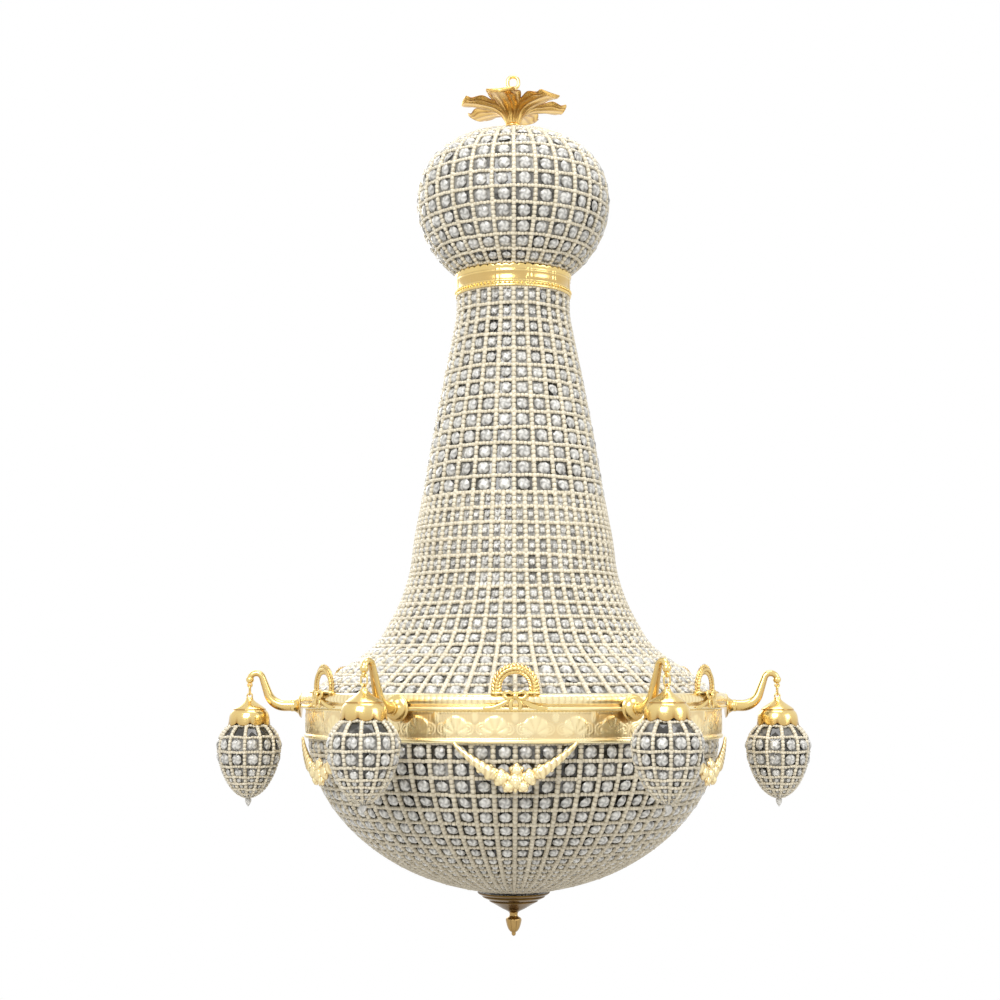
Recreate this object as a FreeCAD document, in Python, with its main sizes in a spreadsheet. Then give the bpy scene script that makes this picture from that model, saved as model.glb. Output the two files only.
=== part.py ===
import FreeCAD, Part
import math
import os

import Sketcher

# A beaded crystal chandelier. Millimetres, +Z up. The origin is the top of the
# hanging loop's eye, where a ceiling hook would carry it, on the upright centre
# line. The side that faces a viewer is -Y, and arm 1 points along +X.

doc = FreeCAD.newDocument("chandelier")
sheet = doc.addObject("Spreadsheet::Sheet", "Sizes")

DRIVING_SIZES = {
    # hanging loop and centre rod
    "eye_width": 10.4, "eye_height": 13.0, "loop_wire_radius": 2.6,
    "boss_radius": 7.0, "boss_height": 11.0, "stem_radius": 5.0, "thread_depth": 8.0,
    "thread_fit": 0.05, "clearance": 0.3,
    # leaf crown and its cup
    "leaf_reach": 78.0, "leaf_rise": 34.0, "leaf_width": 46.0, "leaf_thickness": 3.6,
    "leaf_count": 6, "leaf_turn": 15.0, "crown_hub_radius": 8.5, "crown_height": 50.0,
    "cup_radius": 12.0, "cup_height": 9.0,
    # beaded nets
    "net_wall": 5.0, "ball_radius": 139.0, "ball_top_drop": 107.0, "ball_mouth": 28.0,
    "ball_height": 210.0, "top_ring_height": 4.0,
    "collar_radius": 81.7, "collar_wall": 2.7, "collar_height": 32.0, "collar_lip": 2.4,
    "neck_height": 292.0, "waist_radius": 130.5, "flare_height": 269.0, "flare_inset": 2.0,
    "bowl_inset": 1.0, "bowl_depth": 216.0, "bowl_mouth": 42.0,
    # ring
    "hoop_radius": 286.0, "hoop_wall": 6.0, "ring_height": 62.0,
    "cornice_depth": 9.7, "cornice_height": 22.0, "frieze_wall": 2.0,
    "frieze_lip": 2.0, "lip_height": 6.0,
    # spiders, tray and lamps
    "hub_radius": 15.0, "hub_height": 8.0, "spoke_width": 10.0, "spoke_height": 5.0,
    "collar_spokes": 4, "tray_edge": 9.0, "tray_wall": 2.0, "tray_drop": 74.0,
    "lamp_circle": 82.0, "lamp_count": 6, "holder_radius": 14.0, "holder_height": 38.0,
    "cap_bore": 8.3, "cap_depth": 22.0, "bulb_radius": 17.0, "bulb_height": 62.0,
    # bottom
    "plate_lap": 3.0, "plate_height": 22.0, "finial_height": 35.0, "finial_radius": 11.0,
    "nut_radius": 9.5, "nut_height": 6.0,
    # arms and what hangs on them
    "arm_count": 6, "arm_overhang": 73.0, "arm_rise": 58.0, "side_arm_sag": 13.0, "neck_lean": 20.0,
    "arm_lift_bend": 25.0, "arm_over_bend": 9.0, "arm_radius": 4.3, "arm_tip_radius": 5.6,
    "arm_foot_radius": 7.0, "arm_root_radius": 16.0, "arm_root_length": 15.0,
    "ear_radius": 3.9, "ear_width": 3.6, "ear_bore": 1.75, "ear_drop": 7.5,
    "screw_radius": 2.5, "screw_head": 5.0, "screw_head_height": 4.0, "screw_reach": 12.0,
    "link_bend": 4.6, "link_wire": 1.1, "link_height": 14.0,
    "cap_loop_bend": 3.6, "cap_loop_wire": 1.1, "cap_radius": 29.0, "cap_height": 36.5,
    "cap_drop": 5.9, "cap_wall": 1.5, "cap_lap": 0.5, "egg_radius": 45.4, "egg_shoulder": 40.0, "egg_drop": 74.0,
    "egg_net_wall": 4.0, "egg_holder_radius": 12.0,
    "egg_holder_height": 32.0, "egg_bulb_radius": 15.0, "egg_bulb_height": 56.0,
    "tip_radius": 5.0, "tip_height": 9.0,
    # wreaths on the ring and festoons under it
    "wreath_radius": 30.0, "wreath_eye": 16.7, "wreath_leg": 5.0, "wreath_depth": 7.0,
    "knot_width": 22.0, "knot_height": 20.0, "knot_depth": 7.0, "plinth_height": 3.0,
    "festoon_span": 154.0, "festoon_drop": 50.0, "festoon_end": 7.0, "festoon_thick": 20.0,
    "festoon_bend": 150.0, "festoon_wall": 8.0, "rosette_radius": 14.0,
}


class Size:
    """A size with its formula on the sheet and the value that it has now."""

    def __init__(self, formula, value):
        self.formula = formula
        self.value = value

    def joined(self, sign, other, value):
        return Size(f"({self.formula} {sign} {formula_of(other)})", value)

    def __add__(self, other):
        return self.joined("+", other, self.value + value_of(other))

    def __sub__(self, other):
        return self.joined("-", other, self.value - value_of(other))

    def __mul__(self, other):
        return self.joined("*", other, self.value * value_of(other))

    def __truediv__(self, other):
        return self.joined("/", other, self.value / value_of(other))

    def __neg__(self):
        return Size(f"(0 - {self.formula})", -self.value)

    def __radd__(self, other):
        return Size(str(other), other) + self

    def __rsub__(self, other):
        return Size(str(other), other) - self

    def __rmul__(self, other):
        return Size(str(other), other) * self


def formula_of(size):
    return size.formula if isinstance(size, Size) else str(size)


def value_of(size):
    return size.value if isinstance(size, Size) else size


def driving(name):
    return Size("Sizes." + name, DRIVING_SIZES[name])


for row, (name, value) in enumerate(DRIVING_SIZES.items(), start=1):
    sheet.set(f"A{row}", name)
    sheet.set(f"B{row}", str(value))
    sheet.setAlias(f"B{row}", name)
doc.recompute()
S = {name: driving(name) for name in DRIVING_SIZES}

# ------------------------------------------------------------------ levels
# Heights of the faces where one piece stops and the next begins.
boss_top = -(S["eye_height"] + S["loop_wire_radius"])
boss_foot = boss_top - S["boss_height"] + S["loop_wire_radius"]
crown_foot = boss_foot - S["crown_height"]
ball_top = crown_foot - S["cup_height"]
ball_foot = ball_top - S["ball_height"]
collar_foot = ball_foot - S["collar_height"]
waist = collar_foot - S["neck_height"]
ring_top = waist - S["flare_height"]
ring_foot = ring_top - S["ring_height"]
bowl_foot = ring_foot - S["bowl_depth"]
arm_level = ring_top - S["cornice_height"] * 0.85
collar_spider_level = ball_foot - S["collar_height"] * 0.5
ring_spider_level = ring_top - S["ring_height"] * 0.45
tray_level = ring_top - S["tray_drop"]

# ------------------------------------------------------------------ shared making
parts = {}


def keep(label, thing):
    """Names the finished object of one sub-part."""
    thing.Label = label
    parts[label] = thing
    return thing


def new_body(label):
    return keep(label, doc.addObject("PartDesign::Body", label))


def plane_of(body, role):
    return [item for item in body.Origin.OriginFeatures if item.Role == role][0]


def new_sketch(body, name, role="XZ_Plane"):
    sketch = body.newObject("Sketcher::SketchObject", name)
    sketch.AttachmentSupport = [(plane_of(body, role), "")]
    sketch.MapMode = "FlatFace"
    return sketch


def bind(sketch, constraint, size):
    number = sketch.addConstraint(constraint)
    sketch.setExpression(f"Constraints[{number}]", formula_of(size))


def outline(sketch, points, closed=True):
    """An outline through points, each an (across, up) pair bound to the sheet.

    A third item is the radius of the arc that runs from that point to the next one.
    It bulges to the right of the way the outline runs, or to the left if negative.
    """
    spots = [FreeCAD.Vector(value_of(point[0]), value_of(point[1]), 0) for point in points]
    edges = len(points) if closed else len(points) - 1
    for index in range(edges):
        start, end = spots[index], spots[(index + 1) % len(points)]
        if len(points[index]) == 2:
            sketch.addGeometry(Part.LineSegment(start, end), False)
        else:
            sketch.addGeometry(arc_between(start, end, value_of(points[index][2])), False)
    for index in range(edges if closed else edges - 1):
        after = (index + 1) % edges
        meeting = spots[(index + 1) % len(points)]
        sketch.addConstraint(Sketcher.Constraint("Coincident", index, end_of(sketch, index, meeting),
                                                 after, end_of(sketch, after, meeting)))
    for index, point in enumerate(points):
        edge = min(index, edges - 1)
        corner = end_of(sketch, edge, spots[index])
        pin(sketch, "DistanceX", edge, corner, point[0])
        pin(sketch, "DistanceY", edge, corner, point[1])
        if len(point) == 3:
            size = point[2] if value_of(point[2]) > 0 else -point[2]
            bind(sketch, Sketcher.Constraint("Radius", index, value_of(size)), size)


def arc_between(start, end, radius):
    """The short arc from start to end that bulges right of the way, or left if negative."""
    chord = end - start
    side = FreeCAD.Vector(chord.y, -chord.x, 0).normalize() * math.copysign(1, radius)
    rise = abs(radius) - math.sqrt(radius * radius - chord.Length ** 2 / 4)
    middle = start + chord * 0.5 + side * rise
    return Part.Arc(start, middle, end) if radius > 0 else Part.Arc(end, middle, start)


def end_of(sketch, index, spot):
    """The end of a line or arc, 1 or 2, that lies at a spot."""
    edge = sketch.Geometry[index]
    return 1 if edge.StartPoint.distanceToPoint(spot) < edge.EndPoint.distanceToPoint(spot) else 2


def pin(sketch, kind, index, corner, size):
    """Binds one coordinate of a corner, measured from the origin."""
    if isinstance(size, Size) or size != 0:
        bind(sketch, Sketcher.Constraint(kind, -1, 1, index, corner, value_of(size)), size)
    elif kind == "DistanceX":
        sketch.addConstraint(Sketcher.Constraint("PointOnObject", index, corner, -2))
    else:
        sketch.addConstraint(Sketcher.Constraint("PointOnObject", index, corner, -1))


def circle_at(sketch, across, up, radius):
    """One circle, its centre and radius bound to the sheet."""
    centre = FreeCAD.Vector(value_of(across), value_of(up), 0)
    sketch.addGeometry(Part.Circle(centre, FreeCAD.Vector(0, 0, 1), value_of(radius)), False)
    pin(sketch, "DistanceX", 0, 3, across)
    pin(sketch, "DistanceY", 0, 3, up)
    bind(sketch, Sketcher.Constraint("Radius", 0, value_of(radius)), radius)


def turn(body, name, points):
    """A piece turned on a lathe about the upright centre line."""
    sketch = new_sketch(body, name + "_outline")
    outline(sketch, points)
    turned = body.newObject("PartDesign::Revolution", name)
    turned.Profile = sketch
    turned.ReferenceAxis = (sketch, ["V_Axis"])
    turned.Angle = 360
    doc.recompute()
    return turned


def repeat(body, name, features, count):
    """Repeats features of a body evenly round the upright centre line."""
    pattern = body.newObject("PartDesign::PolarPattern", name)
    pattern.Originals = features
    pattern.Axis = (plane_of(body, "Z_Axis"), [""])
    pattern.Angle = 360
    pattern.setExpression("Occurrences", formula_of(count))
    body.Tip = pattern
    doc.recompute()
    return pattern


def drill_round(body, name, radius, level, reach, count):
    """Holes drilled outwards from the centre line, one per arm."""
    sketch = new_sketch(body, name + "_circle", "YZ_Plane")
    circle_at(sketch, 0, level, radius)
    before = body.Shape.Volume
    hole = body.newObject("PartDesign::Pocket", name)
    hole.Profile = sketch
    hole.Reversed = True
    hole.setExpression("Length", formula_of(reach))
    doc.recompute()
    if body.Shape.Volume >= before:
        raise RuntimeError(name + " cuts nothing")
    return repeat(body, name + "_round", [hole], count)


def primitive(kind, name, **sizes):
    """A plain solid whose sizes are bound to the sheet."""
    solid = doc.addObject("Part::" + kind, name)
    for key, size in sizes.items():
        solid.setExpression(key, formula_of(size))
    return solid


def put(thing, x=0, y=0, z=0, axis=(0, 0, 1), angle=0):
    """Places an object, its position bound to the sheet."""
    turned = FreeCAD.Rotation(FreeCAD.Vector(*axis), angle)
    where = FreeCAD.Vector(value_of(x), value_of(y), value_of(z))
    thing.Placement = FreeCAD.Placement(where, turned)
    for key, size in (("x", x), ("y", y), ("z", z)):
        if isinstance(size, Size):
            thing.setExpression("Placement.Base." + key, size.formula)
    return thing


def united(name, things):
    whole = doc.addObject("Part::MultiFuse", name)
    whole.Shapes = things
    return whole


def cut_away(name, base, tool):
    rest = doc.addObject("Part::Cut", name)
    rest.Base = base
    rest.Tool = tool
    return rest


def grouped(name, things):
    group = doc.addObject("Part::Compound", name)
    group.Links = things
    return group


def round_the_ring(azimuth, outwards=0.0, up=0.0):
    """The place of a piece that is turned to an azimuth and moved out and up."""
    turned = FreeCAD.Rotation(FreeCAD.Vector(0, 0, 1), azimuth)
    return FreeCAD.Placement(turned.multVec(FreeCAD.Vector(outwards, 0, up)), turned)


def oval(name, bend, wire, height):
    """A closed ring of round wire, standing in the XZ plane and hung from its top bend."""
    straight = height - bend * 2
    top = put(primitive("Torus", name + "_top", Radius1=bend, Radius2=wire, Angle3=Size("180", 180)),
              z=-bend, axis=(1, 0, 0), angle=90)
    foot = put(primitive("Torus", name + "_foot", Radius1=bend, Radius2=wire, Angle3=Size("180", 180)),
               z=bend - height, axis=(1, 0, 0), angle=-90)
    legs = [put(primitive("Cylinder", f"{name}_leg_{number}", Radius=wire, Height=straight),
                x=bend * side, z=bend - height) for number, side in enumerate((-1, 1))]
    return united(name, [top, foot] + legs)


def bore(name, radius, top, foot):
    """A cylinder on the centre line, from one level down to another."""
    return put(primitive("Cylinder", name, Radius=radius, Height=top - foot), z=foot)


# ------------------------------------------------------------------ top
stem_bore = S["stem_radius"] + S["thread_fit"]


def hanging_loop():
    """A ring of round wire on a boss that screws onto the centre rod."""
    wire = S["loop_wire_radius"]
    ring = oval("loop_ring", S["eye_width"] / 2 + wire, wire, S["eye_height"] + wire * 2)
    put(ring, z=wire)
    boss = bore("loop_boss", S["boss_radius"], boss_top + wire * 0.5, boss_foot)
    whole = united("loop_and_boss", [ring, boss])
    thread = bore("loop_thread", stem_bore, boss_foot + S["thread_depth"], boss_foot)
    keep("hanging_loop", cut_away("hanging_loop", whole, thread))


def leaf_crown():
    """Cast leaves that curl out of a bored hub."""
    body = new_body("leaf_crown")
    hub = S["crown_hub_radius"]
    turn(body, "crown_hub", [
        (stem_bore, boss_foot), (hub, boss_foot), (hub + 3, boss_foot - S["crown_height"] * 0.4),
        (hub, crown_foot), (stem_bore, crown_foot)])
    thick = S["leaf_thickness"]
    width = S["leaf_width"]
    rise = S["leaf_rise"]
    stations = [
        (hub, crown_foot + 6, width * 0.16, thick * 1.8),
        (S["leaf_reach"] * 0.28, crown_foot + rise * 0.66, width * 0.36, thick * 1.5),
        (S["leaf_reach"] * 0.55, crown_foot + rise, width * 0.5, thick * 1.1),
        (S["leaf_reach"] * 0.82, crown_foot + rise * 0.98, width * 0.4, thick),
        (S["leaf_reach"], crown_foot + rise * 0.76, width * 0.12, thick)]
    sections = []
    for number, (reach, level, half_width, height) in enumerate(stations):
        section = new_sketch(body, f"leaf_section_{number}", "YZ_Plane")
        section.setExpression("AttachmentOffset.Base.z", formula_of(reach))
        outline(section, [
            (-half_width, level), (half_width, level),
            (half_width, level + height), (-half_width, level + height)])
        sections.append(section)
    doc.recompute()
    leaf = body.newObject("PartDesign::AdditiveLoft", "leaf")
    leaf.Profile = sections[0]
    leaf.Sections = sections[1:]
    doc.recompute()
    repeat(body, "leaves", [leaf], S["leaf_count"])
    body.Placement = round_the_ring(S["leaf_turn"].value)


def crown_cup():
    """The turned cup between the leaves and the ball."""
    cup = S["cup_radius"]
    turn(new_body("crown_cup"), "cup", [
        (stem_bore, crown_foot), (cup * 0.6, crown_foot), (cup * 0.6, crown_foot - 2),
        (cup, ball_top + 2), (cup, ball_top), (stem_bore, ball_top)])


def central_stem():
    """The rod that carries everything, from the loop down to the finial."""
    top = boss_foot + S["thread_depth"] - S["clearance"]
    foot = bowl_foot - S["plate_height"] - S["thread_depth"]
    keep("central_stem", bore("central_stem", S["stem_radius"], top, foot))


def ball_top_ring():
    """The disc that the ball's strings are wired to."""
    rim = S["ball_mouth"] - S["clearance"]
    foot = ball_top - S["top_ring_height"]
    turn(new_body("ball_top_ring"), "top_ring", [
        (stem_bore, ball_top), (rim, ball_top), (rim, foot), (stem_bore, foot)])


# ------------------------------------------------------------------ nets
# Each net is strung with stones in frames of small beads. Its solid has the true
# outer surface, which is a curve turned about the centre line, and one wall.
ROUNDNESS_ABOVE = 2.3
ROUNDNESS_BELOW = 1.9
CURVE_STEPS = 9


def quarter(radius, drop, roundness, start_radius, end_radius):
    """Points on the quarter curve (r/radius)^n + (z/drop)^n = 1, from one radius to another."""
    start = math.acos((start_radius / radius) ** (roundness / 2))
    end = math.acos((end_radius / radius) ** (roundness / 2))
    points = []
    for step in range(CURVE_STEPS):
        angle = start + (end - start) * step / (CURVE_STEPS - 1)
        across = radius * abs(math.cos(angle)) ** (2 / roundness)
        points.append((across, drop * math.sin(angle) ** (2 / roundness)))
    return points


def radius_at(radius, drop, roundness, depth):
    """The radius of the same curve at a height above or below its widest place."""
    return radius * (1 - (depth / drop) ** roundness) ** (1 / roundness)


def revolved_shell(label, outside, inside):
    """A shell between two curves, given as (radius, height) points from the top down."""
    rails = []
    for points in (outside, inside[::-1]):
        curve = Part.BSplineCurve()
        curve.interpolate([FreeCAD.Vector(across, 0, up) for across, up in points])
        rails.append(curve.toShape())
    outer, inner = rails
    foot = Part.makeLine(outer.Vertexes[-1].Point, inner.Vertexes[0].Point)
    top = Part.makeLine(inner.Vertexes[-1].Point, outer.Vertexes[0].Point)
    face = Part.Face(Part.Wire([outer, foot, inner, top]))
    net = doc.addObject("Part::Feature", label)
    net.Shape = face.revolve(FreeCAD.Vector(0, 0, 0), FreeCAD.Vector(0, 0, 1), 360)
    return keep(label, net)


def ball_curve(inset):
    """The ball's curve, set in by a wall, from its mouth down to the collar's edge."""
    full = S["ball_radius"].value
    mouth = S["ball_mouth"].value
    at_collar = S["collar_radius"].value - S["clearance"].value
    above = S["ball_top_drop"].value
    middle = ball_top.value - above * radius_at(1, full, ROUNDNESS_ABOVE, mouth)
    lower_part = middle - ball_foot.value
    below = lower_part / radius_at(1, full, ROUNDNESS_BELOW, at_collar) - inset
    radius = full - inset
    foot_radius = radius_at(radius, below, ROUNDNESS_BELOW, lower_part)
    upper = quarter(radius, above - inset, ROUNDNESS_ABOVE, mouth, radius)
    lower = quarter(radius, below, ROUNDNESS_BELOW, radius, foot_radius)
    return ([(across, middle + up) for across, up in upper]
            + [(across, middle - down) for across, down in lower[1:]])


def ball_net():
    revolved_shell("ball_net", ball_curve(0), ball_curve(S["net_wall"].value))


def skirt(label, top, foot, top_radius, foot_radius, shares):
    """A net between two levels. Each point is a share of the way down and of the spread."""
    wall = S["net_wall"].value
    outside = [(top_radius + (foot_radius - top_radius) * across, top + (foot - top) * down)
               for down, across in shares]
    revolved_shell(label, outside, [(across - wall, up) for across, up in outside])


def neck_net():
    """The long strings between the collar and the waist: upright at first, then a steady spread."""
    skirt("neck_net", collar_foot.value, waist.value, S["collar_radius"].value,
          S["waist_radius"].value, ((0, 0), (0.08, 0.003), (0.2, 0.13), (0.4, 0.37), (0.7, 0.7), (1, 1)))


def flare_net():
    """The skirt that spreads from the waist to the ring, ever more to its foot."""
    skirt("flare_net", waist.value, ring_top.value, S["waist_radius"].value,
          (S["hoop_radius"] - S["flare_inset"]).value,
          ((0, 0), (0.2, 0.065), (0.41, 0.12), (0.62, 0.267), (0.78, 0.461), (0.88, 0.71), (1, 1)))


def bowl_curve(inset):
    radius = (S["hoop_radius"] - S["bowl_inset"]).value - inset
    depth = S["bowl_depth"].value - inset
    lower = quarter(radius, depth, ROUNDNESS_BELOW, radius, S["bowl_mouth"].value)
    return [(across, ring_foot.value - down) for across, down in lower]


def bowl_net():
    revolved_shell("bowl_net", bowl_curve(0), bowl_curve(S["net_wall"].value))


# ------------------------------------------------------------------ collar and ring
collar_bore = S["collar_radius"] - S["collar_wall"]
hoop_bore = S["hoop_radius"] - S["hoop_wall"]
over_hoop = S["hoop_radius"] + S["clearance"]
cornice_radius = over_hoop + S["cornice_depth"]
frieze_radius = over_hoop + S["frieze_wall"]
frieze_top = ring_top - S["cornice_height"]
screw_hole = S["screw_radius"] + S["thread_fit"]


def collar_band():
    """The brass band between ball and neck, with a lip along each edge."""
    band = S["collar_radius"]
    lip = band + S["collar_lip"]
    edge = S["collar_height"] * 0.13
    turn(new_body("collar_band"), "collar", [
        (collar_bore, ball_foot), (lip, ball_foot), (lip, ball_foot - edge),
        (band, ball_foot - edge * 1.5), (band, collar_foot + edge * 1.5),
        (lip, collar_foot + edge), (lip, collar_foot), (collar_bore, collar_foot)])


def spider(label, level, rim, count):
    """A hub on the rod, with flat spokes out to a hoop."""
    body = new_body(label)
    turn(body, label + "_hub", [
        (stem_bore, level + S["hub_height"]), (S["hub_radius"], level + S["hub_height"]),
        (S["hub_radius"], level), (stem_bore, level)])
    sketch = new_sketch(body, label + "_spoke_side")
    inner = S["hub_radius"] - 3
    outer = rim - S["clearance"]
    outline(sketch, [
        (inner, level), (outer, level), (outer, level + S["spoke_height"]),
        (inner, level + S["spoke_height"])])
    spoke = body.newObject("PartDesign::Pad", label + "_spoke")
    spoke.Profile = sketch
    spoke.SideType = "Symmetric"
    spoke.setExpression("Length", S["spoke_width"].formula)
    doc.recompute()
    repeat(body, label + "_spokes", [spoke], count)
    return body


def collar_spider():
    spider("collar_spider", collar_spider_level, collar_bore, S["collar_spokes"])


def ring_spider():
    """Its spokes lie between the arms, under the wreaths."""
    body = spider("ring_spider", ring_spider_level, hoop_bore, S["arm_count"])
    body.Placement = round_the_ring(180 / S["arm_count"].value)


def main_hoop():
    """The steel hoop that arms, bands and nets are fixed to."""
    body = new_body("main_hoop")
    turn(body, "hoop", [
        (hoop_bore, ring_top), (S["hoop_radius"], ring_top),
        (S["hoop_radius"], ring_foot), (hoop_bore, ring_foot)])
    drill_round(body, "hoop_hole", screw_hole, arm_level, S["hoop_radius"] + 2, S["arm_count"])


def cornice_strip():
    """The ribbed moulding round the top of the ring."""
    body = new_body("cornice_strip")
    rim = cornice_radius
    tall = S["cornice_height"]
    turn(body, "cornice", [
        (over_hoop, ring_top), (rim - 5, ring_top), (rim, ring_top - tall * 0.3),
        (rim, ring_top - tall * 0.86), (rim - 3, frieze_top), (over_hoop, frieze_top)])
    drill_round(body, "cornice_hole", screw_hole, arm_level, rim + 2, S["arm_count"])


def frieze_band():
    """The pressed brass band below the cornice, with a lip that covers the hoop's foot."""
    lip = frieze_radius + S["frieze_lip"]
    turn(new_body("frieze_band"), "frieze", [
        (over_hoop, frieze_top), (frieze_radius, frieze_top),
        (frieze_radius, ring_foot + S["lip_height"]), (lip, ring_foot + S["lip_height"] * 0.7),
        (lip, ring_foot), (over_hoop, ring_foot)])


# ------------------------------------------------------------------ lamps inside
def lamp_tray():
    """A pressed tray on the rod that carries the lamp holders."""
    tray = S["lamp_circle"] + S["holder_radius"] + S["tray_edge"]
    turn(new_body("lamp_tray"), "tray", [
        (stem_bore, tray_level), (tray, tray_level), (tray, tray_level + 6),
        (tray - S["tray_wall"], tray_level + 6),
        (tray - S["tray_wall"], tray_level + S["tray_wall"]), (stem_bore, tray_level + S["tray_wall"])])


def holder(name, radius, height, neck):
    """A lamp holder: a cup that stands on its neck, bored for the lamp's cap."""
    outside = united(name + "_outside", [
        primitive("Cylinder", name + "_neck", Radius=neck, Height=height * 0.3),
        put(primitive("Cylinder", name + "_cup", Radius=radius, Height=height * 0.8), z=height * 0.2)])
    hollow = put(primitive("Cylinder", name + "_bore", Radius=S["cap_bore"],
                           Height=S["cap_depth"] + 1), z=height - S["cap_depth"])
    return cut_away(name, outside, hollow)


def bulb(name, radius, height):
    """A lamp with a pear of glass on a plain cap, standing on the foot of its holder's bore."""
    cap_radius = S["cap_bore"] - S["thread_fit"]
    cap = primitive("Cylinder", name + "_cap", Radius=cap_radius, Height=S["cap_depth"] + 2)
    neck = put(primitive("Cone", name + "_neck", Radius1=cap_radius, Radius2=radius * 0.9,
                         Height=radius * 0.9), z=S["cap_depth"] + 1)
    glass = put(primitive("Ellipsoid", name + "_glass", Radius1=height / 2 - radius * 0.3,
                          Radius2=radius, Radius3=radius), z=S["cap_depth"] + height / 2 + radius * 0.3)
    return united(name, [cap, neck, glass])


def ring_of(label, original, count, outwards, up, first=0.0):
    """Equal pieces set round the centre line, kept as one node of separate solids."""
    doc.recompute()
    copies = []
    for number in range(int(count.value)):
        copy = doc.addObject("Part::Feature", f"{label}_{number + 1}")
        copy.Shape = original.Shape
        azimuth = first + 360 * number / count.value
        copy.Placement = round_the_ring(azimuth, outwards.value, up.value)
        copies.append(copy)
    keep(label, grouped(label, copies))


def lamp_sockets():
    cup = holder("holder", S["holder_radius"], S["holder_height"], S["holder_radius"] * 0.8)
    ring_of("lamp_sockets", cup, S["lamp_count"], S["lamp_circle"], tray_level + S["tray_wall"])


def inner_bulbs():
    lamp = bulb("lamp", S["bulb_radius"], S["bulb_height"])
    level = tray_level + S["tray_wall"] + S["holder_height"] - S["cap_depth"]
    ring_of("inner_bulbs", lamp, S["lamp_count"], S["lamp_circle"], level)


# ------------------------------------------------------------------ bottom
def bottom_plate():
    """The turned plate that closes the bowl. Its boss fits the net's mouth."""
    boss = S["bowl_mouth"] - S["clearance"]
    rim = S["bowl_mouth"] + S["plate_lap"]
    tall = S["plate_height"]
    top = bowl_foot - S["clearance"]
    turn(new_body("bottom_plate"), "plate", [
        (stem_bore, bowl_foot + S["net_wall"]), (boss, bowl_foot + S["net_wall"]), (boss, top),
        (rim, top), (rim, top - 4), (rim * 0.74, bowl_foot - tall * 0.42),
        (rim * 0.7, bowl_foot - tall * 0.55), (rim * 0.4, bowl_foot - tall * 0.84),
        (rim * 0.24, bowl_foot - tall), (stem_bore, bowl_foot - tall)])


def finial():
    """The turned drop that screws onto the end of the rod."""
    top = bowl_foot - S["plate_height"]
    tall = S["finial_height"]
    bulge = S["finial_radius"]
    neck = S["stem_radius"] + 1.6
    deep = S["thread_depth"] + S["clearance"]
    turn(new_body("finial"), "drop", [
        (stem_bore, top), (neck + 1.5, top), (neck, top - tall * 0.12), (neck, top - tall * 0.24),
        (bulge, top - tall * 0.33), (bulge, top - tall * 0.5), (bulge * 0.62, top - tall * 0.72),
        (bulge * 0.5, top - tall * 0.85), (0, top - tall), (0, top - deep), (stem_bore, top - deep)])


def stem_nuts():
    """Hexagon nuts that clamp each piece that the rod passes through."""
    nuts = []
    levels = [
        ball_top - S["top_ring_height"] - S["nut_height"], collar_spider_level - S["nut_height"],
        ring_spider_level - S["nut_height"], tray_level - S["nut_height"],
        bowl_foot + S["net_wall"]]
    for number, level in enumerate(levels):
        prism = primitive("Prism", f"nut_{number}_prism", Circumradius=S["nut_radius"],
                          Height=S["nut_height"])
        hole = put(primitive("Cylinder", f"nut_{number}_bore", Radius=stem_bore,
                             Height=S["nut_height"] + 2), z=-1)
        nuts.append(put(cut_away(f"nut_{number}", prism, hole), z=level))
    keep("stem_nuts", grouped("stem_nuts", nuts))


# ------------------------------------------------------------------ arms
arm_start = cornice_radius + S["clearance"]
arm_reach = cornice_radius + S["arm_overhang"]


def revolved_root(body, label):
    """The trumpet that stands on the ring, turned about the arm's own line."""
    foot = S["arm_foot_radius"]
    flange = S["arm_root_radius"]
    long = S["arm_root_length"]
    sketch = new_sketch(body, label + "_root_outline", "XY_Plane")
    sketch.setExpression("AttachmentOffset.Base.z", formula_of(arm_level))
    outline(sketch, [
        (arm_start, 0), (arm_start, flange), (arm_start + 2, flange),
        (arm_start + long * 0.4, foot + (flange - foot) * 0.3), (arm_start + long, foot),
        (arm_start + long, 0)])
    root = body.newObject("PartDesign::Revolution", label + "_root")
    root.Profile = sketch
    root.ReferenceAxis = (sketch, ["H_Axis"])
    root.Angle = 360
    doc.recompute()


def bent_tube(body, label, tip_level):
    """A tapered tube: level out of the ring, up a leaning neck, and over to the tip."""
    lift = S["arm_lift_bend"]
    over = S["arm_over_bend"]
    reach = arm_reach
    lean = math.radians(S["neck_lean"].value)
    up_run = tip_level - arm_level + over * math.sin(lean) - lift * (1 - math.sin(lean))
    bend_start = reach - over * (1 + math.cos(lean)) - lift * math.cos(lean) - up_run * math.tan(lean)
    path = new_sketch(body, label + "_path")
    outline(path, [
        (arm_start + 1, arm_level), (bend_start, arm_level, lift),
        (bend_start + lift * math.cos(lean), arm_level + lift * (1 - math.sin(lean))),
        (reach - over * (1 + math.cos(lean)), tip_level + over * math.sin(lean), -over),
        (reach - over, tip_level + over, -over), (reach, tip_level)], closed=False)
    foot = new_sketch(body, label + "_foot_section", "YZ_Plane")
    foot.setExpression("AttachmentOffset.Base.z", formula_of(arm_start + 1))
    circle_at(foot, 0, arm_level, S["arm_foot_radius"])
    tip = new_sketch(body, label + "_tip_section", "XY_Plane")
    tip.setExpression("AttachmentOffset.Base.z", formula_of(tip_level))
    circle_at(tip, reach, 0, S["arm_radius"])
    doc.recompute()
    tube = body.newObject("PartDesign::AdditivePipe", label + "_tube")
    tube.Profile = foot
    tube.Spine = (path, [""])
    tube.Transformation = "Multisection"
    tube.Sections = [tip]
    doc.recompute()


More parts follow.
